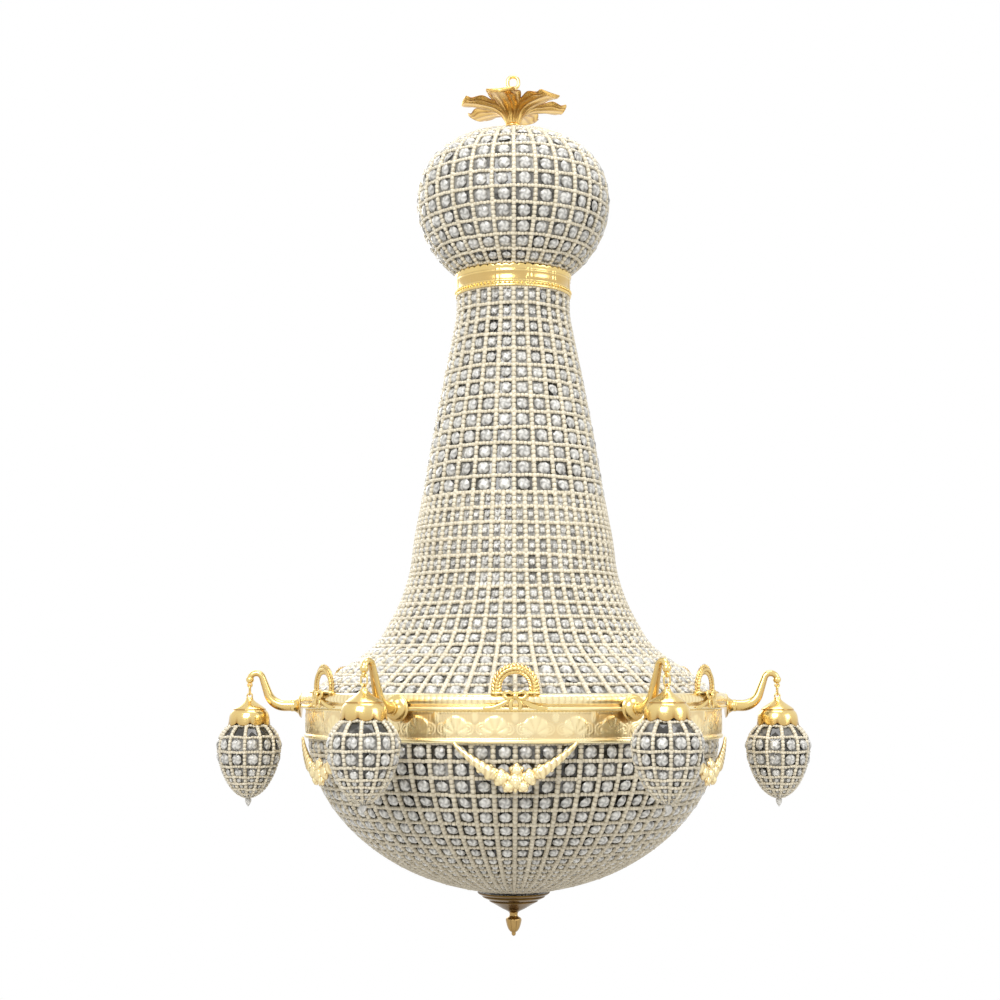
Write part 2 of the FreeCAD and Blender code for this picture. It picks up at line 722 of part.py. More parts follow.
def in_body(body, kind, name, role, place, **sizes):
    """A plain solid added to or cut from a body, set from one of the body's own planes."""
    solid = body.newObject("PartDesign::" + kind, name)
    for key, size in sizes.items():
        solid.setExpression(key, formula_of(size))
    solid.AttachmentSupport = [(plane_of(body, role), "")]
    solid.MapMode = "FlatFace"
    for key, size in zip(("x", "y", "z"), place):
        solid.setExpression("AttachmentOffset.Base." + key, formula_of(size))
    doc.recompute()
    body.Tip = solid
    return solid


def arm(number, rise, azimuth):
    """A bent tube with a flared root and a rounded tip, whose drilled ear holds the link."""
    label = f"arm_{number}"
    body = new_body(label)
    reach = arm_reach
    tip_level = arm_level + rise - S["arm_over_bend"]
    pivot_level = tip_level - S["ear_drop"]
    width = S["ear_width"]
    revolved_root(body, label)
    bent_tube(body, label, tip_level)
    in_body(body, "AdditiveSphere", label + "_tip", "XZ_Plane", (reach, tip_level, 0),
            Radius=S["arm_tip_radius"])
    in_body(body, "AdditiveCylinder", label + "_ear", "XZ_Plane", (reach, pivot_level, -width / 2),
            Radius=S["ear_radius"], Height=width)
    in_body(body, "SubtractiveCylinder", label + "_ear_hole", "XZ_Plane",
            (reach, pivot_level, -width / 2 - 1), Radius=S["ear_bore"], Height=width + 2)
    in_body(body, "SubtractiveCylinder", label + "_thread", "YZ_Plane", (0, arm_level, arm_start - 1),
            Radius=screw_hole, Height=S["screw_reach"] + 1)
    body.Placement = round_the_ring(azimuth)
    return pivot_level


def arm_screws():
    """One screw per arm, from inside the hoop out into the arm's root."""
    inner_end = hoop_bore - S["clearance"] - 1
    shank = put(primitive("Cylinder", "screw_shank", Radius=S["screw_radius"],
                          Height=arm_start + S["screw_reach"] - 1 - inner_end),
                x=inner_end, z=arm_level, axis=(0, 1, 0), angle=90)
    head = put(primitive("Cylinder", "screw_head", Radius=S["screw_head"],
                         Height=S["screw_head_height"]),
               x=hoop_bore - S["screw_head_height"] - S["clearance"], z=arm_level,
               axis=(0, 1, 0), angle=90)
    doc.recompute()
    screw = united("screw", [shank, head])
    doc.recompute()
    ring_of("arm_screws", screw, S["arm_count"], Size("0", 0), Size("0", 0))


# ------------------------------------------------------------------ pendants
# A pendant hangs by a link in the arm's ear. Its pieces are drawn about the place
# where its cap's loop rests in the link, and then moved to their arm.
egg_drop_from_ear = S["link_height"] - S["link_wire"] - S["cap_loop_wire"] - S["clearance"]
net_level = -(S["cap_drop"] + S["cap_height"] + S["clearance"])
egg_mouth = S["cap_radius"] - S["cap_lap"]
egg_middle = net_level - S["egg_shoulder"] * math.sqrt(1 - (egg_mouth.value / S["egg_radius"].value) ** 2)
egg_end = egg_middle - S["egg_drop"]
holder_top = -(S["cap_drop"] + S["cap_height"] * 0.23)


def pendant_link():
    """An oval link that lies across the arm, so that it swings out and in."""
    return put(oval("link", S["link_bend"], S["link_wire"], S["link_height"]),
               axis=(0, 0, 1), angle=90)


def egg_cap():
    """A spun cap like a bell flower, with a small round loop on its top."""
    body = doc.addObject("PartDesign::Body", "cap_bell")
    top = -S["cap_drop"]
    rim = S["cap_radius"]
    wall = S["cap_wall"]
    tall = S["cap_height"]
    foot = top - tall
    turn(body, "bell", [
        (0, top), (4.5, top), (4.5, top - tall * 0.08), (rim * 0.64, top - tall * 0.3),
        (rim * 0.86, top - tall * 0.52), (rim * 0.98, top - tall * 0.82), (rim, foot),
        (rim - wall, foot), (rim * 0.98 - wall, top - tall * 0.82),
        (rim * 0.86 - wall, top - tall * 0.54), (rim * 0.64 - wall, top - tall * 0.36),
        (rim * 0.34, holder_top), (0, holder_top)])
    bend = S["cap_loop_bend"]
    loop = put(primitive("Torus", "cap_loop", Radius1=bend, Radius2=S["cap_loop_wire"]),
               z=-bend, axis=(1, 0, 0), angle=90)
    return united("cap_and_loop", [body, loop])


def egg_net():
    """The egg of strung stones, with a small glass drop that closes its foot."""
    def curve(inset):
        radius = S["egg_radius"].value - inset
        upper = quarter(radius, S["egg_shoulder"].value - inset, 2, egg_mouth.value, radius)
        lower = quarter(radius, S["egg_drop"].value - inset, 2, radius, S["tip_radius"].value)
        return ([(across, egg_middle.value + up) for across, up in upper]
                + [(across, egg_middle.value - down) for across, down in lower[1:]])
    net = revolved_shell("egg_shell", curve(0), curve(S["egg_net_wall"].value))
    del parts["egg_shell"]
    drop = put(primitive("Ellipsoid", "tip_drop", Radius1=S["tip_height"], Radius2=S["tip_radius"] - 0.3,
                         Radius3=S["tip_radius"] - 0.3), z=egg_end)
    return grouped("egg_and_tip", [net, drop])


def egg_socket():
    """The lamp holder under the cap, mouth down."""
    return put(holder("egg_holder", S["egg_holder_radius"], S["egg_holder_height"], Size("9", 9)),
               z=holder_top, axis=(1, 0, 0), angle=180)


def egg_bulb():
    return put(bulb("egg_lamp", S["egg_bulb_radius"], S["egg_bulb_height"]),
               z=holder_top - S["egg_holder_height"] + S["cap_depth"], axis=(1, 0, 0), angle=180)


def hang(label, original, azimuth, up):
    """A copy of a pendant's piece at its arm."""
    copy = doc.addObject("Part::Feature", label)
    copy.Shape = original.Shape
    copy.Placement = round_the_ring(azimuth, arm_reach.value, up.value).multiply(original.Placement)
    keep(label, copy)


def arms_and_pendants():
    originals = {"egg_cap": egg_cap(), "egg_net": egg_net(), "egg_socket": egg_socket(),
                 "egg_bulb": egg_bulb()}
    link = pendant_link()
    doc.recompute()
    count = int(S["arm_count"].value)
    for number in range(count):
        azimuth = 360 * number / count
        at_side = number in (0, count // 2)
        rise = S["arm_rise"] - S["side_arm_sag"] if at_side else S["arm_rise"]
        ear_level = arm(number + 1, rise, azimuth)
        hang(f"pendant_link_{number + 1}", link, azimuth, ear_level)
        for name, original in originals.items():
            hang(f"{name}_{number + 1}", original, azimuth, ear_level - egg_drop_from_ear)


# ------------------------------------------------------------------ ornaments
def flat_piece(body, name, role, points, thickness, level=0):
    """A flat casting of even thickness, centred on one of the body's planes or set off it."""
    sketch = new_sketch(body, name + "_outline", role)
    sketch.setExpression("AttachmentOffset.Base.z", formula_of(level))
    outline(sketch, points)
    pad = body.newObject("PartDesign::Pad", name)
    pad.Profile = sketch
    pad.SideType = "Symmetric"
    pad.setExpression("Length", formula_of(thickness))
    doc.recompute()


def wreath_loops():
    """Flat cast wreaths that stand on the ring between the arms, each with a knot at its foot."""
    body = doc.addObject("PartDesign::Body", "wreath")
    outer = S["wreath_radius"]
    eye = S["wreath_eye"]
    base = ring_top + S["clearance"]
    spring = base + S["plinth_height"] + S["wreath_leg"]
    flat_piece(body, "arch", "XZ_Plane", [
        (-outer, base), (-outer, spring, -outer), (0, spring + outer, -outer), (outer, spring),
        (outer, base), (eye, base), (eye, spring, eye), (0, spring + eye, eye), (-eye, spring),
        (-eye, base)], S["wreath_depth"])
    middle = over_hoop + S["clearance"] + S["wreath_depth"] / 2
    front = cornice_radius + S["clearance"] - middle
    deep = S["knot_depth"]
    half = S["knot_width"] / 2
    # seen from the side, the plinth and the knot hook over the cornice's top edge
    flat_piece(body, "plinth", "YZ_Plane", [
        (0, base), (-front, base), (-front, base - S["knot_height"]),
        (-front - deep, base - S["knot_height"]), (-front - deep, base + S["plinth_height"]),
        (0, base + S["plinth_height"])], half * 2)
    flat_piece(body, "foot", "XZ_Plane", [
        (-eye - 1, base), (eye + 1, base), (eye + 1, base + S["plinth_height"]),
        (-eye - 1, base + S["plinth_height"])], S["wreath_depth"])
    stand_round("wreath_loops", body, middle, 180 / S["arm_count"].value)


def festoons():
    """Cast swags that follow the ring's curve below it, with a rosette in the middle of each."""
    inner = frieze_radius + S["frieze_lip"] + S["clearance"]
    outer = inner + S["festoon_wall"]
    half = S["festoon_span"] / 2
    end = S["festoon_end"]
    thick = S["festoon_thick"]
    bend = S["festoon_bend"]
    top = ring_foot + S["lip_height"] * 0.6
    middle = top - S["festoon_drop"]
    body = doc.addObject("PartDesign::Body", "swag_outline")
    flat_piece(body, "husks", "XZ_Plane", [
        (-half, top, bend), (0, middle - thick / 2, bend), (half, top), (half - end, top, -bend),
        (0, middle + thick / 2, -bend), (-half + end, top)], S["festoon_wall"] * 8, inner)
    rosette = new_sketch(body, "rosette_circle")
    rosette.setExpression("AttachmentOffset.Base.z", formula_of(inner))
    circle_at(rosette, 0, middle, S["rosette_radius"])
    disc = body.newObject("PartDesign::Pad", "rosette")
    disc.Profile = rosette
    disc.SideType = "Symmetric"
    disc.setExpression("Length", formula_of(S["festoon_wall"] * 8))
    doc.recompute()
    level = middle - S["rosette_radius"] * 2
    tall = top - level + 1
    outside = put(primitive("Cylinder", "swag_outside", Radius=outer, Height=tall), z=level)
    inside = put(primitive("Cylinder", "swag_inside", Radius=inner, Height=tall + 2), z=level - 1)
    swag = doc.addObject("Part::Common", "swag")
    swag.Base = body
    swag.Tool = cut_away("swag_tube", outside, inside)
    stand_round("festoons", swag, Size("0", 0), 180 / S["arm_count"].value)


def stand_round(label, original, outwards, first):
    """Copies of an ornament drawn facing -Y, set round the ring facing outwards."""
    doc.recompute()
    count = int(S["arm_count"].value)
    copies = []
    for number in range(count):
        copy = doc.addObject("Part::Feature", f"{label}_{number + 1}")
        copy.Shape = original.Shape
        azimuth = first + 360 * number / count
        facing = FreeCAD.Placement(FreeCAD.Vector(0, 0, 0), FreeCAD.Rotation(FreeCAD.Vector(0, 0, 1), 90))
        copy.Placement = round_the_ring(azimuth, outwards.value).multiply(facing)
        copies.append(copy)
    keep(label, grouped(label, copies))


# ------------------------------------------------------------------ the whole object
for make in (hanging_loop, leaf_crown, crown_cup, central_stem, ball_top_ring, ball_net, collar_band,
             collar_spider, neck_net, flare_net, main_hoop, cornice_strip, frieze_band, ring_spider,
             lamp_tray, lamp_sockets, inner_bulbs, bowl_net, bottom_plate, finial, stem_nuts,
             arm_screws, wreath_loops, festoons, arms_and_pendants):
    make()
doc.recompute()

for thing in doc.Objects:
    if "Invalid" in thing.State or "Error" in thing.State:
        raise RuntimeError(f"{thing.Label} failed: {thing.State}")
for label, thing in parts.items():
    if thing.Shape.isNull() or not thing.Shape.isValid() or not thing.Shape.Solids:
        raise RuntimeError(f"{label} has no sound solid")

os.makedirs("parts", exist_ok=True)
for label, thing in parts.items():
    thing.Shape.exportStep(f"parts/{label}.step")
print(len(parts), "sub-parts written")
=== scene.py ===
import math

import bpy
import numpy as np
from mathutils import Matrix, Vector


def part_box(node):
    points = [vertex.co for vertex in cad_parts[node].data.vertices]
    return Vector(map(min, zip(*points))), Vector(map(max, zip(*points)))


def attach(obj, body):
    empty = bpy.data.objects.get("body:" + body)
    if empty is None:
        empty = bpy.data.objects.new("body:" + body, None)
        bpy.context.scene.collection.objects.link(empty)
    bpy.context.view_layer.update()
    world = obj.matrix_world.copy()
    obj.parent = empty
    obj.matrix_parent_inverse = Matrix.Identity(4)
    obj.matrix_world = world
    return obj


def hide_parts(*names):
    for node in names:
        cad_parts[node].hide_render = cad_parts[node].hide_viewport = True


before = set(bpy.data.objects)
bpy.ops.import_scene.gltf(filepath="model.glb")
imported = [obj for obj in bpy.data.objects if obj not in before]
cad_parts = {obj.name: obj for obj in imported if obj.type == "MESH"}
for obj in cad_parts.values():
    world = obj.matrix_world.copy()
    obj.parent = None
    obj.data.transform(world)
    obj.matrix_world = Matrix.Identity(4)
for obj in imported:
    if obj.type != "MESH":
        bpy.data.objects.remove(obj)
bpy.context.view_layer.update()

# ---------------------------------------------------------------- the view and the studio
# The camera stands in front of the light, about level with the ring, and is turned up by six
# degrees. The surround looks white and lights more from above than from below. Soft lamps
# stand in front, at the right, above and behind.
camera_data = bpy.data.cameras.new("studio_camera")
camera_data.lens = 62.65
camera_data.sensor_width = 36.0
camera = bpy.data.objects.new("studio_camera", camera_data)
camera.location = (-0.0189, -2.450, -0.8748)
camera.rotation_euler = (math.radians(96.035), 0.0, 0.0)
bpy.context.scene.collection.objects.link(camera)
bpy.context.scene.camera = camera
bpy.context.scene.view_settings.view_transform = "Standard"


def soft_lamp(name, place, target, side, power):
    """A square area lamp at a place, turned so that its face looks at a target."""
    data = bpy.data.lights.new(name, "AREA")
    data.shape = "SQUARE"
    data.size = side
    data.energy = power
    lamp = bpy.data.objects.new(name, data)
    lamp.location = place
    away = np.subtract(place, target)
    across = math.hypot(away[0], away[1])
    lamp.rotation_euler = (math.atan2(across, away[2]), 0.0, math.atan2(away[0], -away[1]))
    bpy.context.scene.collection.objects.link(lamp)


MIDDLE_OF_LIGHT = (0.0, 0.0, -0.65)
soft_lamp("front_lamp", (-0.9, -2.6, 0.9), MIDDLE_OF_LIGHT, 1.6, 66.0)
soft_lamp("right_lamp", (2.6, -1.6, 0.2), MIDDLE_OF_LIGHT, 1.3, 22.0)
soft_lamp("top_lamp", (0.3, 0.0, 2.2), MIDDLE_OF_LIGHT, 1.8, 42.0)
soft_lamp("back_lamp", (-1.2, 2.6, 0.4), MIDDLE_OF_LIGHT, 1.8, 26.0)

LIGHT_ABOVE, LIGHT_BELOW = 0.76, 0.04
WHITE = (1.0, 1.0, 1.0, 1.0)


def set_inputs(tree, node, *values, **inputs):
    """Gives inputs of a shader node a value or a link each, the first ones in their order and
    others by their names, with _ for a space."""
    sockets = [*node.inputs[:len(values)], *(node.inputs[name.replace("_", " ")] for name in inputs)]
    for socket, value in zip(sockets, [*values, *inputs.values()]):
        if isinstance(value, bpy.types.NodeSocket):
            tree.links.new(value, socket)
        else:
            socket.default_value = value
    return node


def shader_node(tree, kind, *values, **inputs):
    """A new node in a shader tree, with inputs given."""
    return set_inputs(tree, tree.nodes.new(kind), *values, **inputs)


def reckoned(tree, operation, *values):
    """The outcome of an operation on values, as a new node's output."""
    node = tree.nodes.new("ShaderNodeMath")
    node.operation = operation
    return set_inputs(tree, node, *values).outputs[0]


def new_finish(name, **inputs):
    """A new material, its tree and its shader, with inputs of the shader given."""
    finish = bpy.data.materials.new(name)
    finish.use_nodes = True
    tree = finish.node_tree
    return finish, tree, set_inputs(tree, tree.nodes["Principled BSDF"], **inputs)


world = bpy.data.worlds.new("studio_surround")
bpy.context.scene.world = world
world.use_nodes = True
air = world.node_tree
air.nodes.clear()
ray = shader_node(air, "ShaderNodeLightPath").outputs
seen = reckoned(air, "MAXIMUM", ray["Is Camera Ray"], ray["Is Glossy Ray"])
seen_through = reckoned(air, "MAXIMUM", seen, ray["Is Transmission Ray"])
upward = shader_node(air, "ShaderNodeTexCoord")
split = shader_node(air, "ShaderNodeSeparateXYZ", Vector=upward.outputs["Generated"])
sky = shader_node(air, "ShaderNodeMapRange", Value=split.outputs["Z"], From_Min=-1.0,
                  To_Min=LIGHT_BELOW, To_Max=LIGHT_ABOVE)
lit = shader_node(air, "ShaderNodeBackground", Color=WHITE, Strength=sky.outputs["Result"])
white = shader_node(air, "ShaderNodeBackground", Color=WHITE, Strength=1.0)
chosen = shader_node(air, "ShaderNodeMixShader", seen_through, lit.outputs[0], white.outputs[0])
shader_node(air, "ShaderNodeOutputWorld", Surface=chosen.outputs[0])


# The floor is a pale disc well below the light. It takes the light's shadow and turns nearly as
# white as the surround towards its edge.
FLOOR_LEVEL, FLOOR_RADIUS, FLOOR_SIDES = -1.9, 3.0, 96
floor_mesh = bpy.data.meshes.new("studio_floor")
floor_turn = np.arange(FLOOR_SIDES) * 2 * np.pi / FLOOR_SIDES
floor_rim = np.stack([FLOOR_RADIUS * np.cos(floor_turn), FLOOR_RADIUS * np.sin(floor_turn),
                      np.full(FLOOR_SIDES, FLOOR_LEVEL)], 1)
floor_mesh.from_pydata(floor_rim.tolist(), [], [list(range(FLOOR_SIDES))])
floor = bpy.data.objects.new("studio_floor", floor_mesh)
bpy.context.scene.collection.objects.link(floor)
floor_paint, tree, matt = new_finish("studio_floor_paint", Base_Color=(0.72, 0.71, 0.69, 1.0), Roughness=0.8)
glow = shader_node(tree, "ShaderNodeEmission", Strength=1.0)
where = shader_node(tree, "ShaderNodeTexCoord")
reach = shader_node(tree, "ShaderNodeVectorMath", where.outputs["Object"])
reach.operation = "LENGTH"
fade = shader_node(tree, "ShaderNodeMapRange", Value=reach.outputs["Value"], From_Min=2.0, From_Max=3.3)
fade.interpolation_type = "SMOOTHSTEP"
blend = shader_node(tree, "ShaderNodeMixShader", fade.outputs["Result"], matt.outputs[0], glow.outputs[0])
set_inputs(tree, tree.nodes["Material Output"], Surface=blend.outputs[0])
floor_mesh.materials.append(floor_paint)


# ---------------------------------------------------------------- hanging loop, rod and inner iron
# A bent brass wire ring on a turned boss takes the ceiling hook. Below it a plated steel rod
# carries spiders, nuts, the lamp tray and the hoop, which are plain turned and stamped metal.
def tone_mix(tree, factor, first, last):
    """The colour between two tones at a factor; the first may be another node's output."""
    mix = shader_node(tree, "ShaderNodeMix")
    mix.data_type = "RGBA"
    first = (*first, 1.0) if isinstance(first, tuple) else first
    return set_inputs(tree, mix, Factor=factor, A=first, B=(*last, 1.0)).outputs["Result"]


def own_shade(tree):
    """The painted shade and highlight that each made piece carries at its points."""
    shade = shader_node(tree, "ShaderNodeAttribute")
    shade.attribute_name = "shade"
    return shade.outputs["Fac"]


def own_noise(tree, **inputs):
    """Noise laid out in the made piece's own space."""
    place = shader_node(tree, "ShaderNodeTexCoord").outputs["Object"]
    return shader_node(tree, "ShaderNodeTexNoise", Vector=place, **inputs).outputs["Fac"]


def brass(name, bright, deep, painted_shade_tone, polish):
    """Cast or spun brass: two tones in slow patches, a dark tone of painted shade in recesses
    and on undersides (the piece's own shade), and a faint bump from fine noise."""
    finish, tree, shader = new_finish(name, Metallic=1.0)
    patches = own_noise(tree, Scale=34.0, Detail=3.0)
    grain = own_noise(tree, Scale=420.0)
    gloss = shader_node(tree, "ShaderNodeMapRange", Value=patches, To_Min=polish * 0.7, To_Max=polish * 1.4)
    bump = shader_node(tree, "ShaderNodeBump", Height=grain, Strength=0.12, Distance=0.0006)
    tones = tone_mix(tree, patches, bright, deep)
    set_inputs(tree, shader, Base_Color=tone_mix(tree, own_shade(tree), tones, painted_shade_tone),
               Roughness=gloss.outputs["Result"], Normal=bump.outputs["Normal"])
    return finish


def repaint(names, finish):
    """Gives CAD nodes a finish and keeps their shape."""
    for name in names:
        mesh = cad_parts[name].data
        mesh.materials.clear()
        mesh.materials.append(finish)


# Each brass's third tone is painted shade, laid where a made piece's shade attribute says.
gilt = brass("gilt_brass_finish", (0.88, 0.71, 0.32), (0.77, 0.53, 0.18), (0.36, 0.16, 0.03), 0.18)
pale_gilt = brass("pale_gilt_finish", (1.0, 0.91, 0.58), (0.96, 0.77, 0.40), (0.48, 0.24, 0.06), 0.27)
deep_gilt = brass("deep_gilt_finish", (1.0, 0.74, 0.28), (0.92, 0.56, 0.15), (0.36, 0.15, 0.03), 0.24)
aged_brass = brass("aged_brass_finish", (0.20, 0.115, 0.025), (0.10, 0.055, 0.012),
                   (0.02, 0.01, 0.004), 0.20)
old_gilt = brass("old_gilt_finish", (0.78, 0.54, 0.22), (0.50, 0.31, 0.10), (0.12, 0.06, 0.02), 0.16)
steel = brass("plated_steel_finish", (0.62, 0.61, 0.59), (0.48, 0.47, 0.46), (0.2, 0.2, 0.2), 0.34)
repaint(["hanging_loop", "crown_cup"], gilt)
repaint(["central_stem", "ball_top_ring", "collar_spider", "ring_spider", "main_hoop", "stem_nuts",
         "arm_screws", "lamp_tray"], steel)


# ---------------------------------------------------------------- leaf crown
# Six cast acanthus leaves with ruffled edges and raised veins curl out of a hub on the rod,
# below the loop. Leaves and hub are one brass casting.
def skin(grid, shade=None):
    """A grid of points as a surface: (points, faces, shade). Points that coincide become one,
    which closes seams and poles, and a closed surface is turned so that it looks outwards.
    A three-cornered face repeats its first corner as its last."""
    rows, columns = grid.shape[:2]
    points = grid.reshape(-1, 3)
    shade = np.zeros(len(points)) if shade is None else np.broadcast_to(shade, (rows, columns)).ravel()
    _, first, same = np.unique(np.round(points, 7) + 0.0, axis=0, return_index=True, return_inverse=True)
    number = same.reshape(rows, columns)
    faces = np.stack([number[:-1, :-1], number[:-1, 1:], number[1:, 1:], number[1:, :-1]], -1).reshape(-1, 4)
    doubled = faces == np.roll(faces, -1, axis=1)
    sound = doubled.sum(1) < 2
    faces, doubled = faces[sound], doubled[sound]
    start = np.where(doubled.any(1), doubled.argmax(1) + 1, 0)
    faces = np.take_along_axis(faces, (start[:, None] + np.arange(4)) % 4, 1)
    points = points[first]
    a, b, c, d = points[faces].transpose(1, 0, 2)
    if (np.cross(a, b) * c).sum() + (np.cross(a, c) * d).sum() < 0:
        faces = faces[:, ::-1]
    return points, faces, shade[first]


def together(*shapes):
    """Several (points, faces, shade) shapes as one; the faces of each are counted on."""
    start = np.cumsum([0] + [len(points) for points, _, _ in shapes])
    return (np.concatenate([points for points, _, _ in shapes]),
            np.concatenate([faces + first for (_, faces, _), first in zip(shapes, start)]),
            np.concatenate([shade for _, _, shade in shapes]))


def turned_about(shape, azimuth, out=0.0, up=0.0):
    """A shape moved out along X and up, and then turned about Z."""
    points, faces, shade = shape
    x, y, z = (points + np.array([out, 0.0, up])).T
    c, s = math.cos(azimuth), math.sin(azimuth)
    return np.stack([x * c - y * s, x * s + y * c, z], 1), faces, shade


def ring_angles(sides):
    """The angles of a ring's sides as a row, with the first again at its end."""
    return 2 * np.pi * (np.arange(sides + 1) % sides)[None, :] / sides


def turned(outline, sides, twist=0.0):
    """A turned surface: each (radius, height) of the outline is carried round Z, and each row
    is turned on by the twist, in steps of one side."""
    radius, height = np.asarray(outline, float).T
    row = np.arange(len(radius))[:, None]
    angle = 2 * np.pi * (np.arange(sides + 1)[None, :] % sides + row * twist) / sides
    return np.stack([radius[:, None] * np.cos(angle), radius[:, None] * np.sin(angle),
                     height[:, None] + 0 * angle], -1)


def smooth_curve(at, knots, values):
    """A smooth curve through knots: cubic spans whose slopes are the means of their neighbours'."""
    knots, values = np.asarray(knots, float), np.asarray(values, float)
    slope = np.gradient(values, knots)
    k = np.clip(np.searchsorted(knots, at) - 1, 0, len(knots) - 2)
    width = knots[k + 1] - knots[k]
    t = (at - knots[k]) / width
    return ((1 + 2 * t) * (1 - t) ** 2 * values[k] + t * (1 - t) ** 2 * width * slope[k]
            + t * t * (3 - 2 * t) * values[k + 1] + t * t * (t - 1) * width * slope[k + 1])


def rounded_outline(points, steps=4):
    """An outline with smooth curves through its points, in even shares between them."""
    points = np.asarray(points, float)
    at = np.linspace(0, len(points) - 1, (len(points) - 1) * steps + 1)
    knots = np.arange(len(points))
    return np.stack([smooth_curve(at, knots, points[:, 0]), smooth_curve(at, knots, points[:, 1])], 1)


def made(name, shape, finish, body, nodes=(), flat=False):
    """Makes a mesh of a shape, in a finish, that rides on a body and stands for CAD nodes."""
    points, faces, shade = shape
    three = faces[:, 3] == faces[:, 0]
    mesh = bpy.data.meshes.new(name)
    mesh.from_pydata(points.tolist(), [], faces[three, :3].tolist() + faces[~three].tolist())
    mesh.polygons.foreach_set("use_smooth", np.full(len(mesh.polygons), not flat))
    mesh.attributes.new("shade", "FLOAT", "POINT").data.foreach_set("value", shade.astype(np.float32))
    mesh.materials.append(finish)
    piece = bpy.data.objects.new(name, mesh)
    bpy.context.scene.collection.objects.link(piece)
    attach(piece, body)
    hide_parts(*nodes)


CROWN_LEAVES, CROWN_TURN = 6, math.radians(15.0)
LEAF_RUFFLES, LEAF_VEINS = 3.6, 2.6
# Each station of a leaf: its share of the length, how far out and how high it lies, half its width.
LEAF_STATIONS = [
    (0, 0.0070, -0.0725, 0.0036), (0.14, 0.0108, -0.0625, 0.0085), (0.28, 0.0165, -0.0535, 0.0150),
    (0.46, 0.0310, -0.0462, 0.0228), (0.66, 0.0515, -0.0436, 0.0245), (0.86, 0.0705, -0.0425, 0.0225),
    (1.0, 0.0765, -0.0430, 0.0160)]
leaf_share, leaf_out, leaf_level, leaf_width = np.transpose(LEAF_STATIONS)
leaf_along = np.linspace(0, 1, 48)[:, None]
leaf_round = ring_angles(48)
leaf_side, leaf_over = np.cos(leaf_round), np.sin(leaf_round)
leaf_spine = np.concatenate([smooth_curve(leaf_along, leaf_share, leaf_out),
                             smooth_curve(leaf_along, leaf_share, leaf_level)], 1)
leaf_heading = np.gradient(leaf_spine, axis=0)
leaf_heading /= np.linalg.norm(leaf_heading, axis=1, keepdims=True)
leaf_half = smooth_curve(leaf_along, np.append(leaf_share, 1.14), np.append(leaf_width, 0.0))
leaf_ruffle = np.abs(np.sin(np.pi * (LEAF_RUFFLES * leaf_along + 0.1)))
leaf_half = leaf_half * (1 - 0.16 * (1 - leaf_ruffle) * leaf_along ** 0.5)
leaf_half[-1] = 0.0
leaf_ridge = np.cos(2 * np.pi * LEAF_VEINS * np.abs(leaf_side) ** 1.2 - 1.2 * leaf_along)
leaf_lift = (leaf_over * (0.0019 + 0.0012 * leaf_along ** 3) * (leaf_half > 0)
             + 0.0050 * leaf_side ** 2 * np.sin(np.pi * leaf_along ** 1.2)
             - 0.0024 * np.cos(2 * np.pi * LEAF_RUFFLES * leaf_along + 0.6) * leaf_side ** 2 * leaf_along
             + 0.0008 * leaf_ridge * np.sin(np.pi * np.clip(leaf_along * 1.02, 0, 1)))
# Painted shade in the grooves between the raised veins and at the notches between the ruffles.
leaf_shade = np.clip(0.75 * np.clip(-leaf_ridge, 0, 1) + 0.5 * (1 - leaf_ruffle) * leaf_side ** 2, 0, 1)
crown_leaf = skin(np.stack([leaf_spine[:, :1] - leaf_heading[:, 1:] * leaf_lift, leaf_half * leaf_side,
                            leaf_spine[:, 1:] + leaf_heading[:, :1] * leaf_lift], -1), leaf_shade)
crown_hub = skin(turned(rounded_outline([
    (0.0051, -0.0235), (0.0078, -0.0240), (0.0095, -0.0290), (0.0085, -0.0400), (0.0080, -0.0550),
    (0.0088, -0.0660), (0.0112, -0.0705), (0.0098, -0.0735), (0.0051, -0.0740), (0.0051, -0.0235)]), 48))
leaves_round = [turned_about(crown_leaf, CROWN_TURN + 2 * math.pi * number / CROWN_LEAVES)
                for number in range(CROWN_LEAVES)]
made("crown_of_leaves", together(crown_hub, *leaves_round), deep_gilt, "root", ["leaf_crown"])


# ---------------------------------------------------------------- the ball of strung stones
# Strings of small cream glass beads hang from the top ring and are tied across by others, and
# a cut glass stone sits in each frame on a fine wire. All of it is strung by hand.
def strung_glass(name, bright, deep, bead_shade_tone, clear):
    """Small moulded beads: two cream tones by fine noise, and a brown tone of painted shade
    by the bead's own shade, glossy and a little clear."""
    finish, tree, shader = new_finish(name, Roughness=0.22, IOR=1.5, Transmission_Weight=clear)
    speckle = own_noise(tree, Scale=150.0, Detail=2.0)
    spread = shader_node(tree, "ShaderNodeMapRange", Value=speckle, From_Min=0.35, From_Max=0.65)
    tones = tone_mix(tree, spread.outputs["Result"], bright, deep)
    set_inputs(tree, shader, Base_Color=tone_mix(tree, own_shade(tree), tones, bead_shade_tone))
    return finish


def cut_glass(name, bright, deep, clear):
    """Cut stones: a pale tone of painted highlight on the table and a dark one of painted shade
    towards the rim and on the squares behind (the stone's own shade), which each stone mixes a little
    differently, clear and very glossy."""
    finish, tree, shader = new_finish(name, Roughness=0.04, IOR=1.56, Transmission_Weight=clear)
    offset = reckoned(tree, "SUBTRACT", own_noise(tree, Scale=90.0), 0.55)
    moved = reckoned(tree, "MULTIPLY_ADD", own_shade(tree), 1.1, offset)
    moved.node.use_clamp = True
    set_inputs(tree, shader, Base_Color=tone_mix(tree, moved, bright, deep))
    return finish


def copies(shape, centre, across, axis, size):
    """One small shape at many places. A point (x, y, z) of it comes to
    centre + x * across + y * (axis cross across) + z * axis, each share times the size."""
    points, faces, shade = shape
    frames = np.stack([across, np.cross(axis, across), axis], 1) * size[:, :, None]
    placed = centre[:, None, :] + np.einsum("vk,nkc->nvc", points, frames)
    count = len(centre)
    counted = faces[None] + (np.arange(count) * len(points))[:, None, None]
    return placed.reshape(-1, 3), counted.reshape(-1, 4), np.tile(shade, count)


